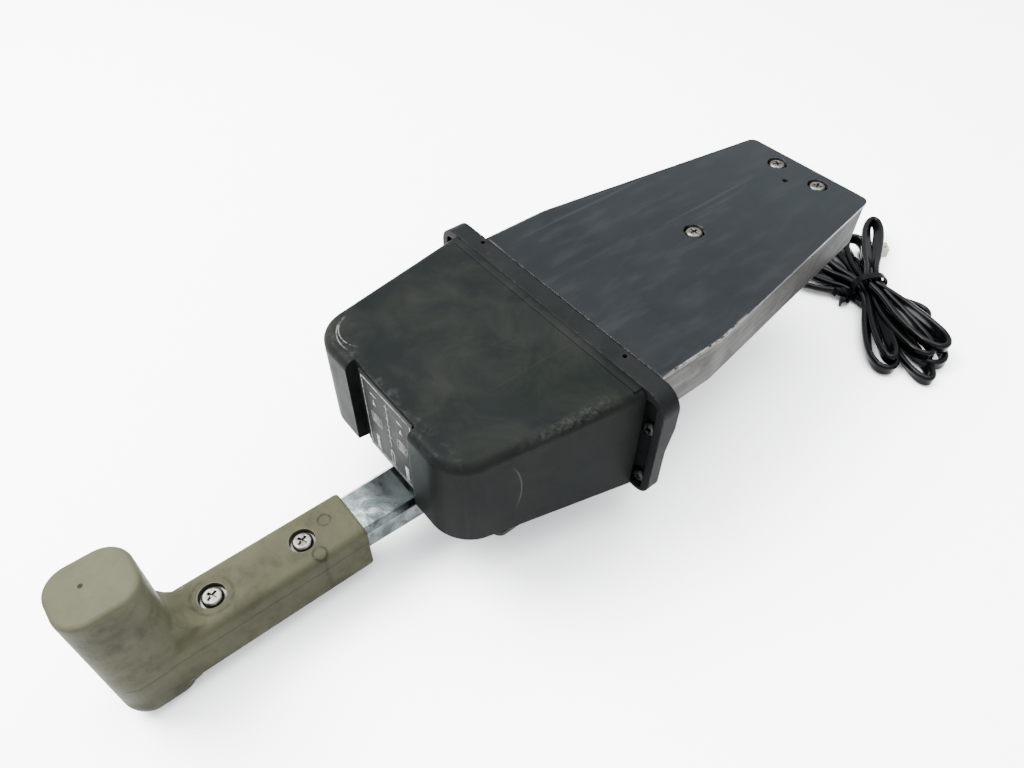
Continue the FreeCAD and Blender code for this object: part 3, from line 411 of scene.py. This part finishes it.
looks = {
    "hood_plastic": hood_material(),
    "flange_plastic": flange_material(),
    "label_metal": label_material(),
    "galvanised": galvanised_material(),
    "plate_coat": cover_material(),
    "nickel_screws": steel_material(
        "nickel_screws", (0.085, 0.083, 0.074), (0.026, 0.025, 0.021), 0.28, 0.44, scale=420),
    "zinc_steel": steel_material(
        "zinc_steel", (0.060, 0.060, 0.056), (0.034, 0.034, 0.032), 0.30, 0.46, scale=90),
    "black_screws": steel_material(
        "black_screws", (0.006, 0.006, 0.0064), (0.003, 0.003, 0.0033), 0.30, 0.42, 0.6),
    "bright_steel": steel_material(
        "bright_steel", (0.22, 0.22, 0.22), (0.14, 0.14, 0.14), 0.18, 0.30, scale=70),
    "bronze": steel_material("bronze", (0.22, 0.14, 0.065), (0.14, 0.085, 0.038), 0.34, 0.48, scale=400),
    "buffer_rubber": plastic_material(
        "buffer_rubber", (0.004, 0.004, 0.004), (0.0025, 0.0025, 0.0025), 0.55, 0.7, spec=0.15),
    "spring_steel": steel_material("spring_steel", (0.11, 0.125, 0.155), (0.060, 0.070, 0.090), 0.22, 0.34),
    "nylon_dark": plastic_material(
        "nylon_dark", (0.007, 0.007, 0.0068), (0.0045, 0.0045, 0.0044), 0.40, 0.55, spec=0.15),
    "nylon_white": plastic_material("nylon_white", (0.24, 0.238, 0.21), (0.19, 0.185, 0.155), 0.36, 0.48),
    "lever_chrome": chrome_material(),
    "grip_rubber": rubber_material(),
    "contact_brass": steel_material("contact_brass", (0.34, 0.25, 0.10), (0.22, 0.155, 0.060), 0.24, 0.36),
    "board_laminate": plastic_material(
        "board_laminate", (0.12, 0.068, 0.026), (0.075, 0.040, 0.015), 0.36, 0.5, 220),
    "lead_pvc": lead_material(),
    "tie_plastic": plastic_material(
        "tie_plastic", (0.0016, 0.0018, 0.0020), (0.0009, 0.0010, 0.0011), 0.30, 0.42, 150, spec=0.03),
    "plug_nylon": plastic_material(
        "plug_nylon", (0.200, 0.206, 0.140), (0.150, 0.154, 0.100), 0.28, 0.42, 120, coat=0.2),
}
marks_look = mark_material()

for entry in frame["record"]["subparts"]:
    mesh = nodes[entry["node"]].data
    mesh.materials.clear()
    mesh.materials.append(looks[entry["material_slot"]])


# ---------------------------------------------------------------- mesh tools
def made(name, bm, body, slot, replaced=(), smooth=40, look=None):
    mesh = bpy.data.meshes.new(name)
    bmesh.ops.recalc_face_normals(bm, faces=bm.faces)
    bm.to_mesh(mesh)
    bm.free()
    obj = bpy.data.objects.new(name, mesh)
    scene.collection.objects.link(obj)
    for poly in mesh.polygons:
        poly.use_smooth = True
    if smooth:
        mesh.set_sharp_from_angle(angle=math.radians(smooth))
    mesh.materials.append(look or looks[slot])
    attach(obj, body)
    if replaced:
        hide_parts(*replaced)
    return obj


def applied(obj):
    """The object's mesh with its modifiers, put in place of its own."""
    bpy.context.view_layer.update()
    depsgraph = bpy.context.evaluated_depsgraph_get()
    mesh = bpy.data.meshes.new_from_object(obj.evaluated_get(depsgraph))
    obj.modifiers.clear()
    old = obj.data
    obj.data = mesh
    bpy.data.meshes.remove(old)
    return obj


def rounded_loop(x0, x1, y0, y1, r, steps=8):
    """Plan points of a rectangle with round corners, anticlockwise."""
    points = []
    corners = ((x1 - r, y0 + r, -90), (x1 - r, y1 - r, 0), (x0 + r, y1 - r, 90), (x0 + r, y0 + r, 180))
    for cx, cy, start in corners:
        for i in range(steps + 1):
            a = math.radians(start + 90 * i / steps)
            points.append((cx + r * math.cos(a), cy + r * math.sin(a)))
    return points


def lofted(bm, rings):
    """Quads between rings of the same length, closed round; ends capped."""
    rows = [[bm.verts.new(p) for p in ring] for ring in rings]
    n = len(rows[0])
    for a, b in zip(rows, rows[1:]):
        for i in range(n):
            bm.faces.new((a[i], a[(i + 1) % n], b[(i + 1) % n], b[i]))
    bm.faces.new(rows[0][::-1])
    bm.faces.new(rows[-1])
    return rows


def cylinder(bm, at, r, height, direction=(0, 0, 1), segments=32):
    turn = Vector((0, 0, 1)).rotation_difference(Vector(direction)).to_matrix().to_4x4()
    bmesh.ops.create_cone(bm, cap_ends=True, segments=segments, radius1=r, radius2=r, depth=height,
                          matrix=Matrix.Translation(at) @ turn)


# ---------------------------------------------------------------- camera, light, table
def view_camera():
    """Camera over the grip's right side, looking down along the lever."""
    azimuth = math.radians(-39.71)
    height = math.radians(47.84)
    roll = math.radians(1.02)
    level = math.cos(height)
    back = Vector((math.sin(azimuth) * level, -math.cos(azimuth) * level, math.sin(height)))
    right = (-back).cross(Vector((0, 0, 1))).normalized()
    up = right.cross(-back)
    right, up = (math.cos(roll) * right + math.sin(roll) * up, -math.sin(roll) * right + math.cos(roll) * up)
    data = bpy.data.cameras.new("view")
    data.sensor_width = 36
    data.lens = 27.735
    data.clip_start = 0.01
    data.clip_end = 20
    cam = bpy.data.objects.new("view", data)
    scene.collection.objects.link(cam)
    turn = Matrix((right, up, back)).transposed().to_4x4()
    cam.matrix_world = Matrix.Translation((-0.17635, -0.21425, 0.3613)) @ turn
    scene.camera = cam


def area_light(name, at, target, size, power, color=(1, 1, 1)):
    data = bpy.data.lights.new(name, "AREA")
    data.shape = "RECTANGLE"
    data.size = size[0]
    data.size_y = size[1]
    data.energy = power
    data.color = color
    lamp = bpy.data.objects.new(name, data)
    scene.collection.objects.link(lamp)
    lamp.location = at
    lamp.rotation_euler = (Vector(target) - Vector(at)).to_track_quat("-Z", "Y").to_euler()


def table_material():
    m = Mat("table_white")
    cloud = m.noise(3, 3, 0.5)
    m.raise_(m.noise(220, 3, 0.5), 0.00001)
    return m.done(m.mix(cloud, (0.90, 0.905, 0.915), (0.93, 0.935, 0.94)), 0.55, spec=0.3)


view_camera()
area_light("key", (-0.55, 0.75, 1.25), (0.02, 0, 0.03), (0.9, 0.9), 135)
area_light("fill", (0.1, -1.4, 0.9), (0.0, 0, 0.05), (1.6, 1.0), 5)
area_light("top", (0.35, 0.15, 1.6), (0.05, 0, 0), (1.6, 1.4), 105)
world = bpy.data.worlds.new("studio")
world.use_nodes = True
sky = world.node_tree.nodes["Background"]
sky.inputs[1].default_value = 1.0
coord = world.node_tree.nodes.new("ShaderNodeTexCoord")
split = world.node_tree.nodes.new("ShaderNodeSeparateXYZ")
world.node_tree.links.new(coord.outputs["Generated"], split.inputs[0])
ramp = world.node_tree.nodes.new("ShaderNodeValToRGB")
ramp.color_ramp.elements[0].position = 0.02
ramp.color_ramp.elements[0].color = (1.55, 1.58, 1.60, 1)
ramp.color_ramp.elements[1].position = 0.70
ramp.color_ramp.elements[1].color = (3.0, 3.08, 3.16, 1)
world.node_tree.links.new(split.outputs[2], ramp.inputs[0])
world.node_tree.links.new(ramp.outputs[0], sky.inputs[0])
scene.world = world

floor_bm = bmesh.new()
for row in range(13):
    for col in range(13):
        floor_bm.verts.new(((col - 6) * 0.5, (row - 6) * 0.5, 0))
floor_bm.verts.ensure_lookup_table()
for row in range(12):
    for col in range(12):
        i = row * 13 + col
        floor_bm.faces.new([floor_bm.verts[k] for k in (i, i + 1, i + 14, i + 13)])
floor_mesh = bpy.data.meshes.new("table_top")
floor_bm.to_mesh(floor_mesh)
floor_bm.free()
floor = bpy.data.objects.new("table_top", floor_mesh)
scene.collection.objects.link(floor)
floor_mesh.materials.append(table_material())


# ---------------------------------------------------------------- grip
def boxy_ring_x(x, y0, y1, z0, z1, r):
    return [(x, a, b) for a, b in rounded_loop(y0, y1, z0, z1, r)]


def boxy_ring_z(z, x0, x1, y0, y1, r):
    return [(a, b, z) for a, b in rounded_loop(x0, x1, y0, y1, r)]


def press_seam(verts, half=0.0009, depth=0.00022):
    """A shallow groove along the parting line, with a lip where the side rounds away."""
    for vert in verts:
        x, y, z = vert.co
        off = abs(z - SEAM_Z)
        if off < half and (abs(y - AXIS_Y) > 0.013 or x < -0.222):
            outward = 1 if y > AXIS_Y else -1
            sense = -1 if abs(y - AXIS_Y) > 0.0147 else 1
            vert.co.y += outward * sense * depth * (1 - off / half)


def make_grip():
    """Sleeve, knob, foot lobe and web, joined into one moulding with two screw pockets."""
    x0, x1 = -0.2242, -0.1904
    knob_half = 0.0153
    bm = bmesh.new()
    sleeve = []
    sleeve_half = 0.0148
    for x, inset in ((-0.1022, 0.0012), (-0.1026, 0.0004), (-0.1036, 0.0), (-0.140, 0.0), (-0.180, 0.0),
                     (-0.212, 0.0)):
        side = sleeve_half - inset
        sleeve.append(boxy_ring_x(x, AXIS_Y - side, AXIS_Y + side, 0.010 + inset, 0.0405 - inset,
                                  0.0040 - inset))
    lofted(bm, sleeve)
    knob = []
    for z, inset in ((0.0004, 0.0090), (0.0010, 0.0066), (0.0022, 0.0042), (0.0045, 0.0022), (0.0080, 0.0008),
                     (0.0120, 0.0), (0.030, 0.0), (0.060, 0.0), (0.0878, 0.0), (0.0890, 0.0003),
                     (0.0897, 0.0010), (0.0900, 0.0020)):
        side = knob_half - inset
        knob.append(boxy_ring_z(z, x0 + inset, x1 - inset, AXIS_Y - side, AXIS_Y + side, 0.0115 - inset))
    lofted(bm, knob)
    lobe = []
    for z, inset in ((0.0006, 0.0085), (0.0016, 0.0056), (0.0035, 0.0030), (0.0065, 0.0010), (0.0105, 0.0),
                     (0.0120, 0.0006)):
        side = 0.013 - inset
        lobe.append(boxy_ring_z(z, -0.2222 + inset, -0.1854 - inset, AXIS_Y - side, AXIS_Y + side,
                                0.010 - inset))
    lofted(bm, lobe)
    web = []
    for x, z in ((-0.196, 0.0520), (-0.1904, 0.0505), (-0.1885, 0.0468), (-0.1860, 0.0438), (-0.1825, 0.0418),
                 (-0.1790, 0.0402)):
        web.append([(x, AXIS_Y + s * 0.0110, h) for s, h in ((-1, 0.034), (1, 0.034), (1, z), (-1, z))])
    lofted(bm, web)
    dot = []
    for z, r in ((0.0890, 0.0016), (0.0900, 0.0015), (0.0900, 0.0008)):
        dot.append([(-0.2102 + r * math.cos(a * math.pi / 8), -0.0043 + r * math.sin(a * math.pi / 8), z)
                    for a in range(16)])
    lofted(bm, dot)
    obj = made("grip_moulding", bm, "lever", "grip_rubber", ("grip_cover",), smooth=0)
    remesh = obj.modifiers.new("union", "REMESH")
    remesh.mode = "VOXEL"
    remesh.voxel_size = 0.0006
    soften = obj.modifiers.new("soften", "SMOOTH")
    soften.factor = 0.5
    soften.iterations = 4
    applied(obj)
    press_seam(obj.data.vertices)
    cut = bmesh.new()
    for x in (-0.173, -0.1285):
        cylinder(cut, (x, AXIS_Y, 0.040), 0.0062, 0.0084)
    cut_mesh = bpy.data.meshes.new("grip_holes")
    cut.to_mesh(cut_mesh)
    cut.free()
    tool = bpy.data.objects.new("grip_holes", cut_mesh)
    scene.collection.objects.link(tool)
    boolean = obj.modifiers.new("holes", "BOOLEAN")
    boolean.operation = "DIFFERENCE"
    boolean.solver = "EXACT"
    boolean.object = tool
    applied(obj)
    bpy.data.objects.remove(tool)
    for poly in obj.data.polygons:
        poly.use_smooth = True
    obj.data.set_sharp_from_angle(angle=math.radians(45))
    return obj


make_grip()


# ---------------------------------------------------------------- fillet strip between hood and flange
def make_fillet_strip():
    """A low strip along the hood's top where it meets the flange."""
    bm = bmesh.new()
    rings = []
    for y, lift in ((-0.0700, 0.0002), (-0.0690, 0.0006), (0.0660, 0.0006), (0.0670, 0.0002)):
        rings.append([(0.0146, y, 0.0988), (0.0200, y, 0.0988), (0.0200, y, HOOD_TOP + lift * 0.8),
                      (0.0170, y, HOOD_TOP + lift * 0.9), (0.0152, y, HOOD_TOP + lift * 0.6)])
    lofted(bm, rings)
    made("hood_fillet_strip", bm, "housing", "hood_plastic", smooth=0)


make_fillet_strip()


# ---------------------------------------------------------------- label marks
def flat_shape(bm, x, outline_yz, thick=0.00012):
    """Thin plate on the label's front, outline given from the label's middle, seen from the front."""
    front = [bm.verts.new((x - thick, y, z)) for y, z in outline_yz]
    back = [bm.verts.new((x, y, z)) for y, z in outline_yz]
    n = len(front)
    bm.faces.new(front)
    bm.faces.new(back[::-1])
    for i in range(n):
        bm.faces.new((front[i], front[(i + 1) % n], back[(i + 1) % n], back[i]))


def bar_shape(bm, x, y, half, z0, z1):
    """A filled bar round y."""
    flat_shape(bm, x, [(y - half, z0), (y + half, z0), (y + half, z1), (y - half, z1)])


def frame_shape(bm, x, y0, y1, z0, z1, w):
    """A thin rectangular border of width w."""
    flat_shape(bm, x, [(y0, z0), (y1, z0), (y1, z0 + w), (y0, z0 + w)])
    flat_shape(bm, x, [(y0, z1 - w), (y1, z1 - w), (y1, z1), (y0, z1)])
    flat_shape(bm, x, [(y0, z0 + w), (y0 + w, z0 + w), (y0 + w, z1 - w), (y0, z1 - w)])
    flat_shape(bm, x, [(y1 - w, z0 + w), (y1, z0 + w), (y1, z1 - w), (y1 - w, z1 - w)])


def make_marks():
    """Generic marks on the label: a border, three lever positions, a scale, two boxes and two arrows."""
    x = -0.0726
    bm = bmesh.new()
    frame_shape(bm, x, -0.0202, 0.0202, 0.0440, 0.0940, 0.00045)
    for i, y in enumerate((0.0127, 0.0, -0.0125)):
        if i == 1:
            frame_shape(bm, x, y - 0.0014, y + 0.0014, 0.0462, 0.0560, 0.0005)
        else:
            bar_shape(bm, x, y, 0.0014, 0.0462, 0.0560)
    flat_shape(bm, x, [(-0.00018, 0.0600), (0.00018, 0.0600), (0.00018, 0.0905), (-0.00018, 0.0905)])
    for i in range(7):
        z = 0.0630 + i * 0.0042
        flat_shape(bm, x, [(-0.0013, z), (0.0013, z), (0.0013, z + 0.00035), (-0.0013, z + 0.00035)])
    for side in (-1, 1):
        y = side * 0.0110
        frame_shape(bm, x, y - 0.0042, y + 0.0042, 0.0660, 0.0730, 0.00028)
        tip = side * 0.0022
        flat_shape(bm, x, [(y - 0.0013, 0.0800), (y + 0.0013, 0.0800), (y + tip * 0.2, 0.0836)])
        bar_shape(bm, x, y, 0.0024, 0.0868, 0.0874)
        for row in range(3):
            z = 0.0674 + row * 0.0018
            bar_shape(bm, x, y, 0.0030, z, z + 0.0004)
    made("label_marks", bm, "housing", "label_metal", smooth=0, look=marks_look)


make_marks()


# ---------------------------------------------------------------- flat lead
def route_line(points):
    """A smooth line over the route's points, as a NURBS curve gives it."""
    data = bpy.data.curves.new("lead_route", "CURVE")
    data.dimensions = "3D"
    spline = data.splines.new("NURBS")
    spline.points.add(len(points) - 1)
    for point, place in zip(spline.points, points):
        point.co = (*place, 1)
    spline.order_u = 3
    spline.use_endpoint_u = True
    spline.resolution_u = 10
    obj = bpy.data.objects.new("lead_route", data)
    scene.collection.objects.link(obj)
    bpy.context.view_layer.update()
    depsgraph = bpy.context.evaluated_depsgraph_get()
    mesh = bpy.data.meshes.new_from_object(obj.evaluated_get(depsgraph))
    line = [v.co.copy() for v in mesh.vertices]
    bpy.data.meshes.remove(mesh)
    bpy.data.objects.remove(obj)
    bpy.data.curves.remove(data)
    return line


def twin_profile(width, thick, steps=9):
    """Figure-of-eight section of two cores side by side, joined by a web."""
    points = []
    r = thick / 2
    off = width / 2 - r
    for side, start in ((1, -115), (-1, 65)):
        for i in range(steps + 1):
            a = math.radians(start + 230 * i / steps)
            points.append((side * off + r * math.cos(a), r * math.sin(a)))
    return points


def swept(bm, line, width_dirs, profile):
    """The profile carried along the line, its wide side held to the given directions."""
    rings = []
    for i, at in enumerate(line):
        before = line[max(i - 1, 0)]
        after = line[min(i + 1, len(line) - 1)]
        along = (after - before).normalized()
        wide = width_dirs[i] - along * width_dirs[i].dot(along)
        wide.normalize()
        thin = along.cross(wide)
        rings.append([at + wide * a + thin * b for a, b in profile])
    lofted(bm, rings)


LEAD_W = 0.0080
LEAD_T = 0.0040
# out of the clamp, through the grommet, down behind the end wall and along the table to the tie
LEAD_ROUTE = [
    (0.1810, -0.0065, 0.0810), (0.2140, -0.0065, 0.0810), (0.2510, -0.0065, 0.0800),
    (0.2680, -0.0050, 0.0520), (0.2700, -0.0035, 0.0220), (0.2810, -0.0065, 0.0044),
    (0.2950, -0.0105, 0.0044), (0.2985, -0.0260, 0.0044), (0.2890, -0.0400, 0.0044),
]
WAIST = Vector((0.2715, -0.0515, 0.0))
# each turn: foot of the lower loop, half its width, its height; then the same for the head of the upper loop
TURNS = [
    ((0.2835, -0.0905), 0.0072, 0.0044, (0.2490, -0.0020), 0.0085, 0.0044),
    ((0.2500, -0.1185), 0.0106, 0.0062, (0.2640, 0.0050), 0.0085, 0.0045),
    ((0.2345, -0.1215), 0.0062, 0.0044, (0.2790, 0.0030), 0.0080, 0.0060),
    ((0.2215, -0.1005), 0.0078, 0.0050, (0.2900, -0.0010), 0.0066, 0.0090),
    ((0.2270, -0.0985), 0.0040, 0.0090, (0.3090, -0.0140), 0.0062, 0.0110),
    ((0.2455, -0.1120), 0.0072, 0.0112, (0.3350, -0.0120), 0.0043, 0.0130),
]
LAST_FOOT = ((0.2560, -0.1150), 0.0080, 0.0140)
# where each strand passes through the tie: sideways from the middle, and height
PASSES = [
    (0.0017, 0.0044), (0.0083, 0.0044), (-0.0050, 0.0044), (0.0050, 0.0044), (-0.0083, 0.0044),
    (-0.0017, 0.0044), (-0.0066, 0.0098), (0.0066, 0.0098), (-0.0033, 0.0098), (0.0033, 0.0098),
    (0.0000, 0.0098), (0.0044, 0.0158), (-0.0044, 0.0158), (0.0000, 0.0160),
]
# from the tie to the plug
LAST_RUN = [
    (0.2860, -0.0420, 0.0120), (0.2950, -0.0345, 0.0080), (0.3040, -0.0275, 0.0050),
    (0.3110, -0.0225, 0.0044), (0.3150, -0.0212, 0.0044), (0.3182, -0.0226, 0.0044),
]


def loop_points(tip, half, tip_z, first, last):
    """Half a turn: from the tie out to a loop's tip and back, clockwise seen from above."""
    out = Vector((tip[0], tip[1], 0)) - WAIST
    across = Vector((out.y, -out.x, 0)).normalized()
    points = []
    for reach, wide in ((0.22, 0.35), (0.48, 0.80), (0.74, 1.0), (0.91, 0.95), (1.02, 0.42), (1.02, -0.42),
                        (0.91, -0.95), (0.74, -1.0), (0.48, -0.80), (0.22, -0.35)):
        z_tie = first if wide > 0 else last
        share = min(1.0, reach * 1.25)
        at = WAIST + out * reach + across * (half * wide)
        points.append((at.x, at.y, z_tie + (tip_z - z_tie) * share))
    return points


def tie_point(index, along):
    off, z = PASSES[index]
    return (WAIST.x + along.y * off, WAIST.y - along.x * off, z)


def lead_points():
    axis = Vector((0.51, 0.86, 0))
    loops = []
    for foot, foot_half, foot_z, head, head_half, head_z in TURNS:
        loops += [(foot, foot_half, foot_z), (head, head_half, head_z)]
    loops.append(LAST_FOOT)
    points = LEAD_ROUTE + [tie_point(0, axis)]
    for step, (tip, half, tip_z) in enumerate(loops):
        points += loop_points(tip, half, tip_z, PASSES[step][1], PASSES[step + 1][1])
        points.append(tie_point(step + 1, axis))
    return points + LAST_RUN


def plan_turning(line, i, reach=6):
    """How fast the line turns in plan, per metre."""
    before = line[i] - line[max(i - reach, 0)]
    after = line[min(i + reach, len(line) - 1)] - line[i]
    run = before.length + after.length
    if before.xy.length < 1e-5 or after.xy.length < 1e-5:
        return 0.0
    return abs(before.xy.angle_signed(after.xy)) / run * 2


def make_lead():
    """The ribbon along the route: flat on straight runs, on edge where it turns."""
    line = route_line(lead_points())
    bm = bmesh.new()
    dirs = []
    run = 0.0
    count = len(line)
    straight = [1 - min(1.0, plan_turning(line, i) / 60) for i in range(count)]
    for i, at in enumerate(line):
        if i:
            run += (at - line[i - 1]).length
        near_tie = min(1.0, max(0.0, ((at.xy - WAIST.xy).length - 0.006) / 0.014))
        flat_share = sum(straight[max(i - 12, 0):i + 13]) / len(straight[max(i - 12, 0):i + 13]) * near_tie
        lean = flat_share * (1.15 + 0.20 * math.sin(run / 0.045)) + 0.08 * math.sin(run / 0.0142 + 1.0)
        before = line[max(i - 1, 0)]
        after = line[min(i + 1, count - 1)]
        along = (after - before).normalized()
        side = along.cross(Vector((0, 0, 1)))
        flat = Vector((0, 1, 0)) if side.length < 0.35 or at.z > 0.03 else None
        if flat is None:
            dirs.append((Vector((0, 0, 1)) * math.cos(lean) + side.normalized() * math.sin(lean)))
        else:
            dirs.append(flat)
    window = range(-6, 7)
    smooth = [sum((dirs[min(max(i + k, 0), count - 1)] for k in window), Vector()) for i in range(count)]
    swept(bm, line, smooth, twin_profile(LEAD_W, LEAD_T))
    obj = made("flat_lead", bm, "housing", "lead_pvc", ("cord_lead", "cord_hank"), smooth=60)
    return obj, line


flat_lead, lead_line = make_lead()


def make_tie():
    """A flat band round the waist of the hank, with two twisted tails at its left end."""
    band_wide, band_tall, band_mid = 0.0109, 0.0104, 0.0109
    half_band, band_thick = 0.0024, 0.0008
    segments = 40
    axis = Vector((0.51, 0.86, 0)).normalized()
    across = Vector((axis.y, -axis.x, 0))
    bm = bmesh.new()
    ring = []
    for i in range(segments):
        a = 2 * math.pi * i / segments
        wide = band_wide * math.copysign(abs(math.cos(a)) ** 0.7, math.cos(a))
        tall = band_tall * math.copysign(abs(math.sin(a)) ** 0.7, math.sin(a))
        ring.append((wide, tall))
    rows = []
    for off, grow in ((-half_band, 0.0), (-half_band, band_thick), (half_band, band_thick), (half_band, 0.0)):
        swell = 1 + grow / band_wide
        row = []
        for wide, tall in ring:
            at = WAIST + across * (wide * swell) + axis * off
            row.append(bm.verts.new((at.x, at.y, max(0.0002, band_mid + tall * swell))))
        rows.append(row)
    for a, b in zip(rows, rows[1:] + rows[:1]):
        for i in range(segments):
            bm.faces.new((a[i], a[(i + 1) % segments], b[(i + 1) % segments], b[i]))
    start = WAIST - across * 0.0112
    for lift, spread, length in ((0.0034, -0.0030, 0.0080), (0.0060, 0.0030, 0.0095)):
        rings = []
        for i in range(11):
            t = i / 10
            at = start - across * (length * t) + axis * (spread * (0.3 + t))
            at.z += lift + 0.0012 * math.sin(3 * t)
            turn = 3.4 * t
            wide = (Vector((0, 0, 1)) * math.cos(turn) + axis * math.sin(turn)) * 0.0031
            thin = across.cross(wide).normalized() * 0.0014
            rings.append([at + wide + thin, at - wide + thin, at - wide - thin, at + wide - thin])
        lofted(bm, rings)
    return made("twist_tie", bm, "housing", "tie_plastic", ("hank_tie",), smooth=50)


twist_tie = make_tie()
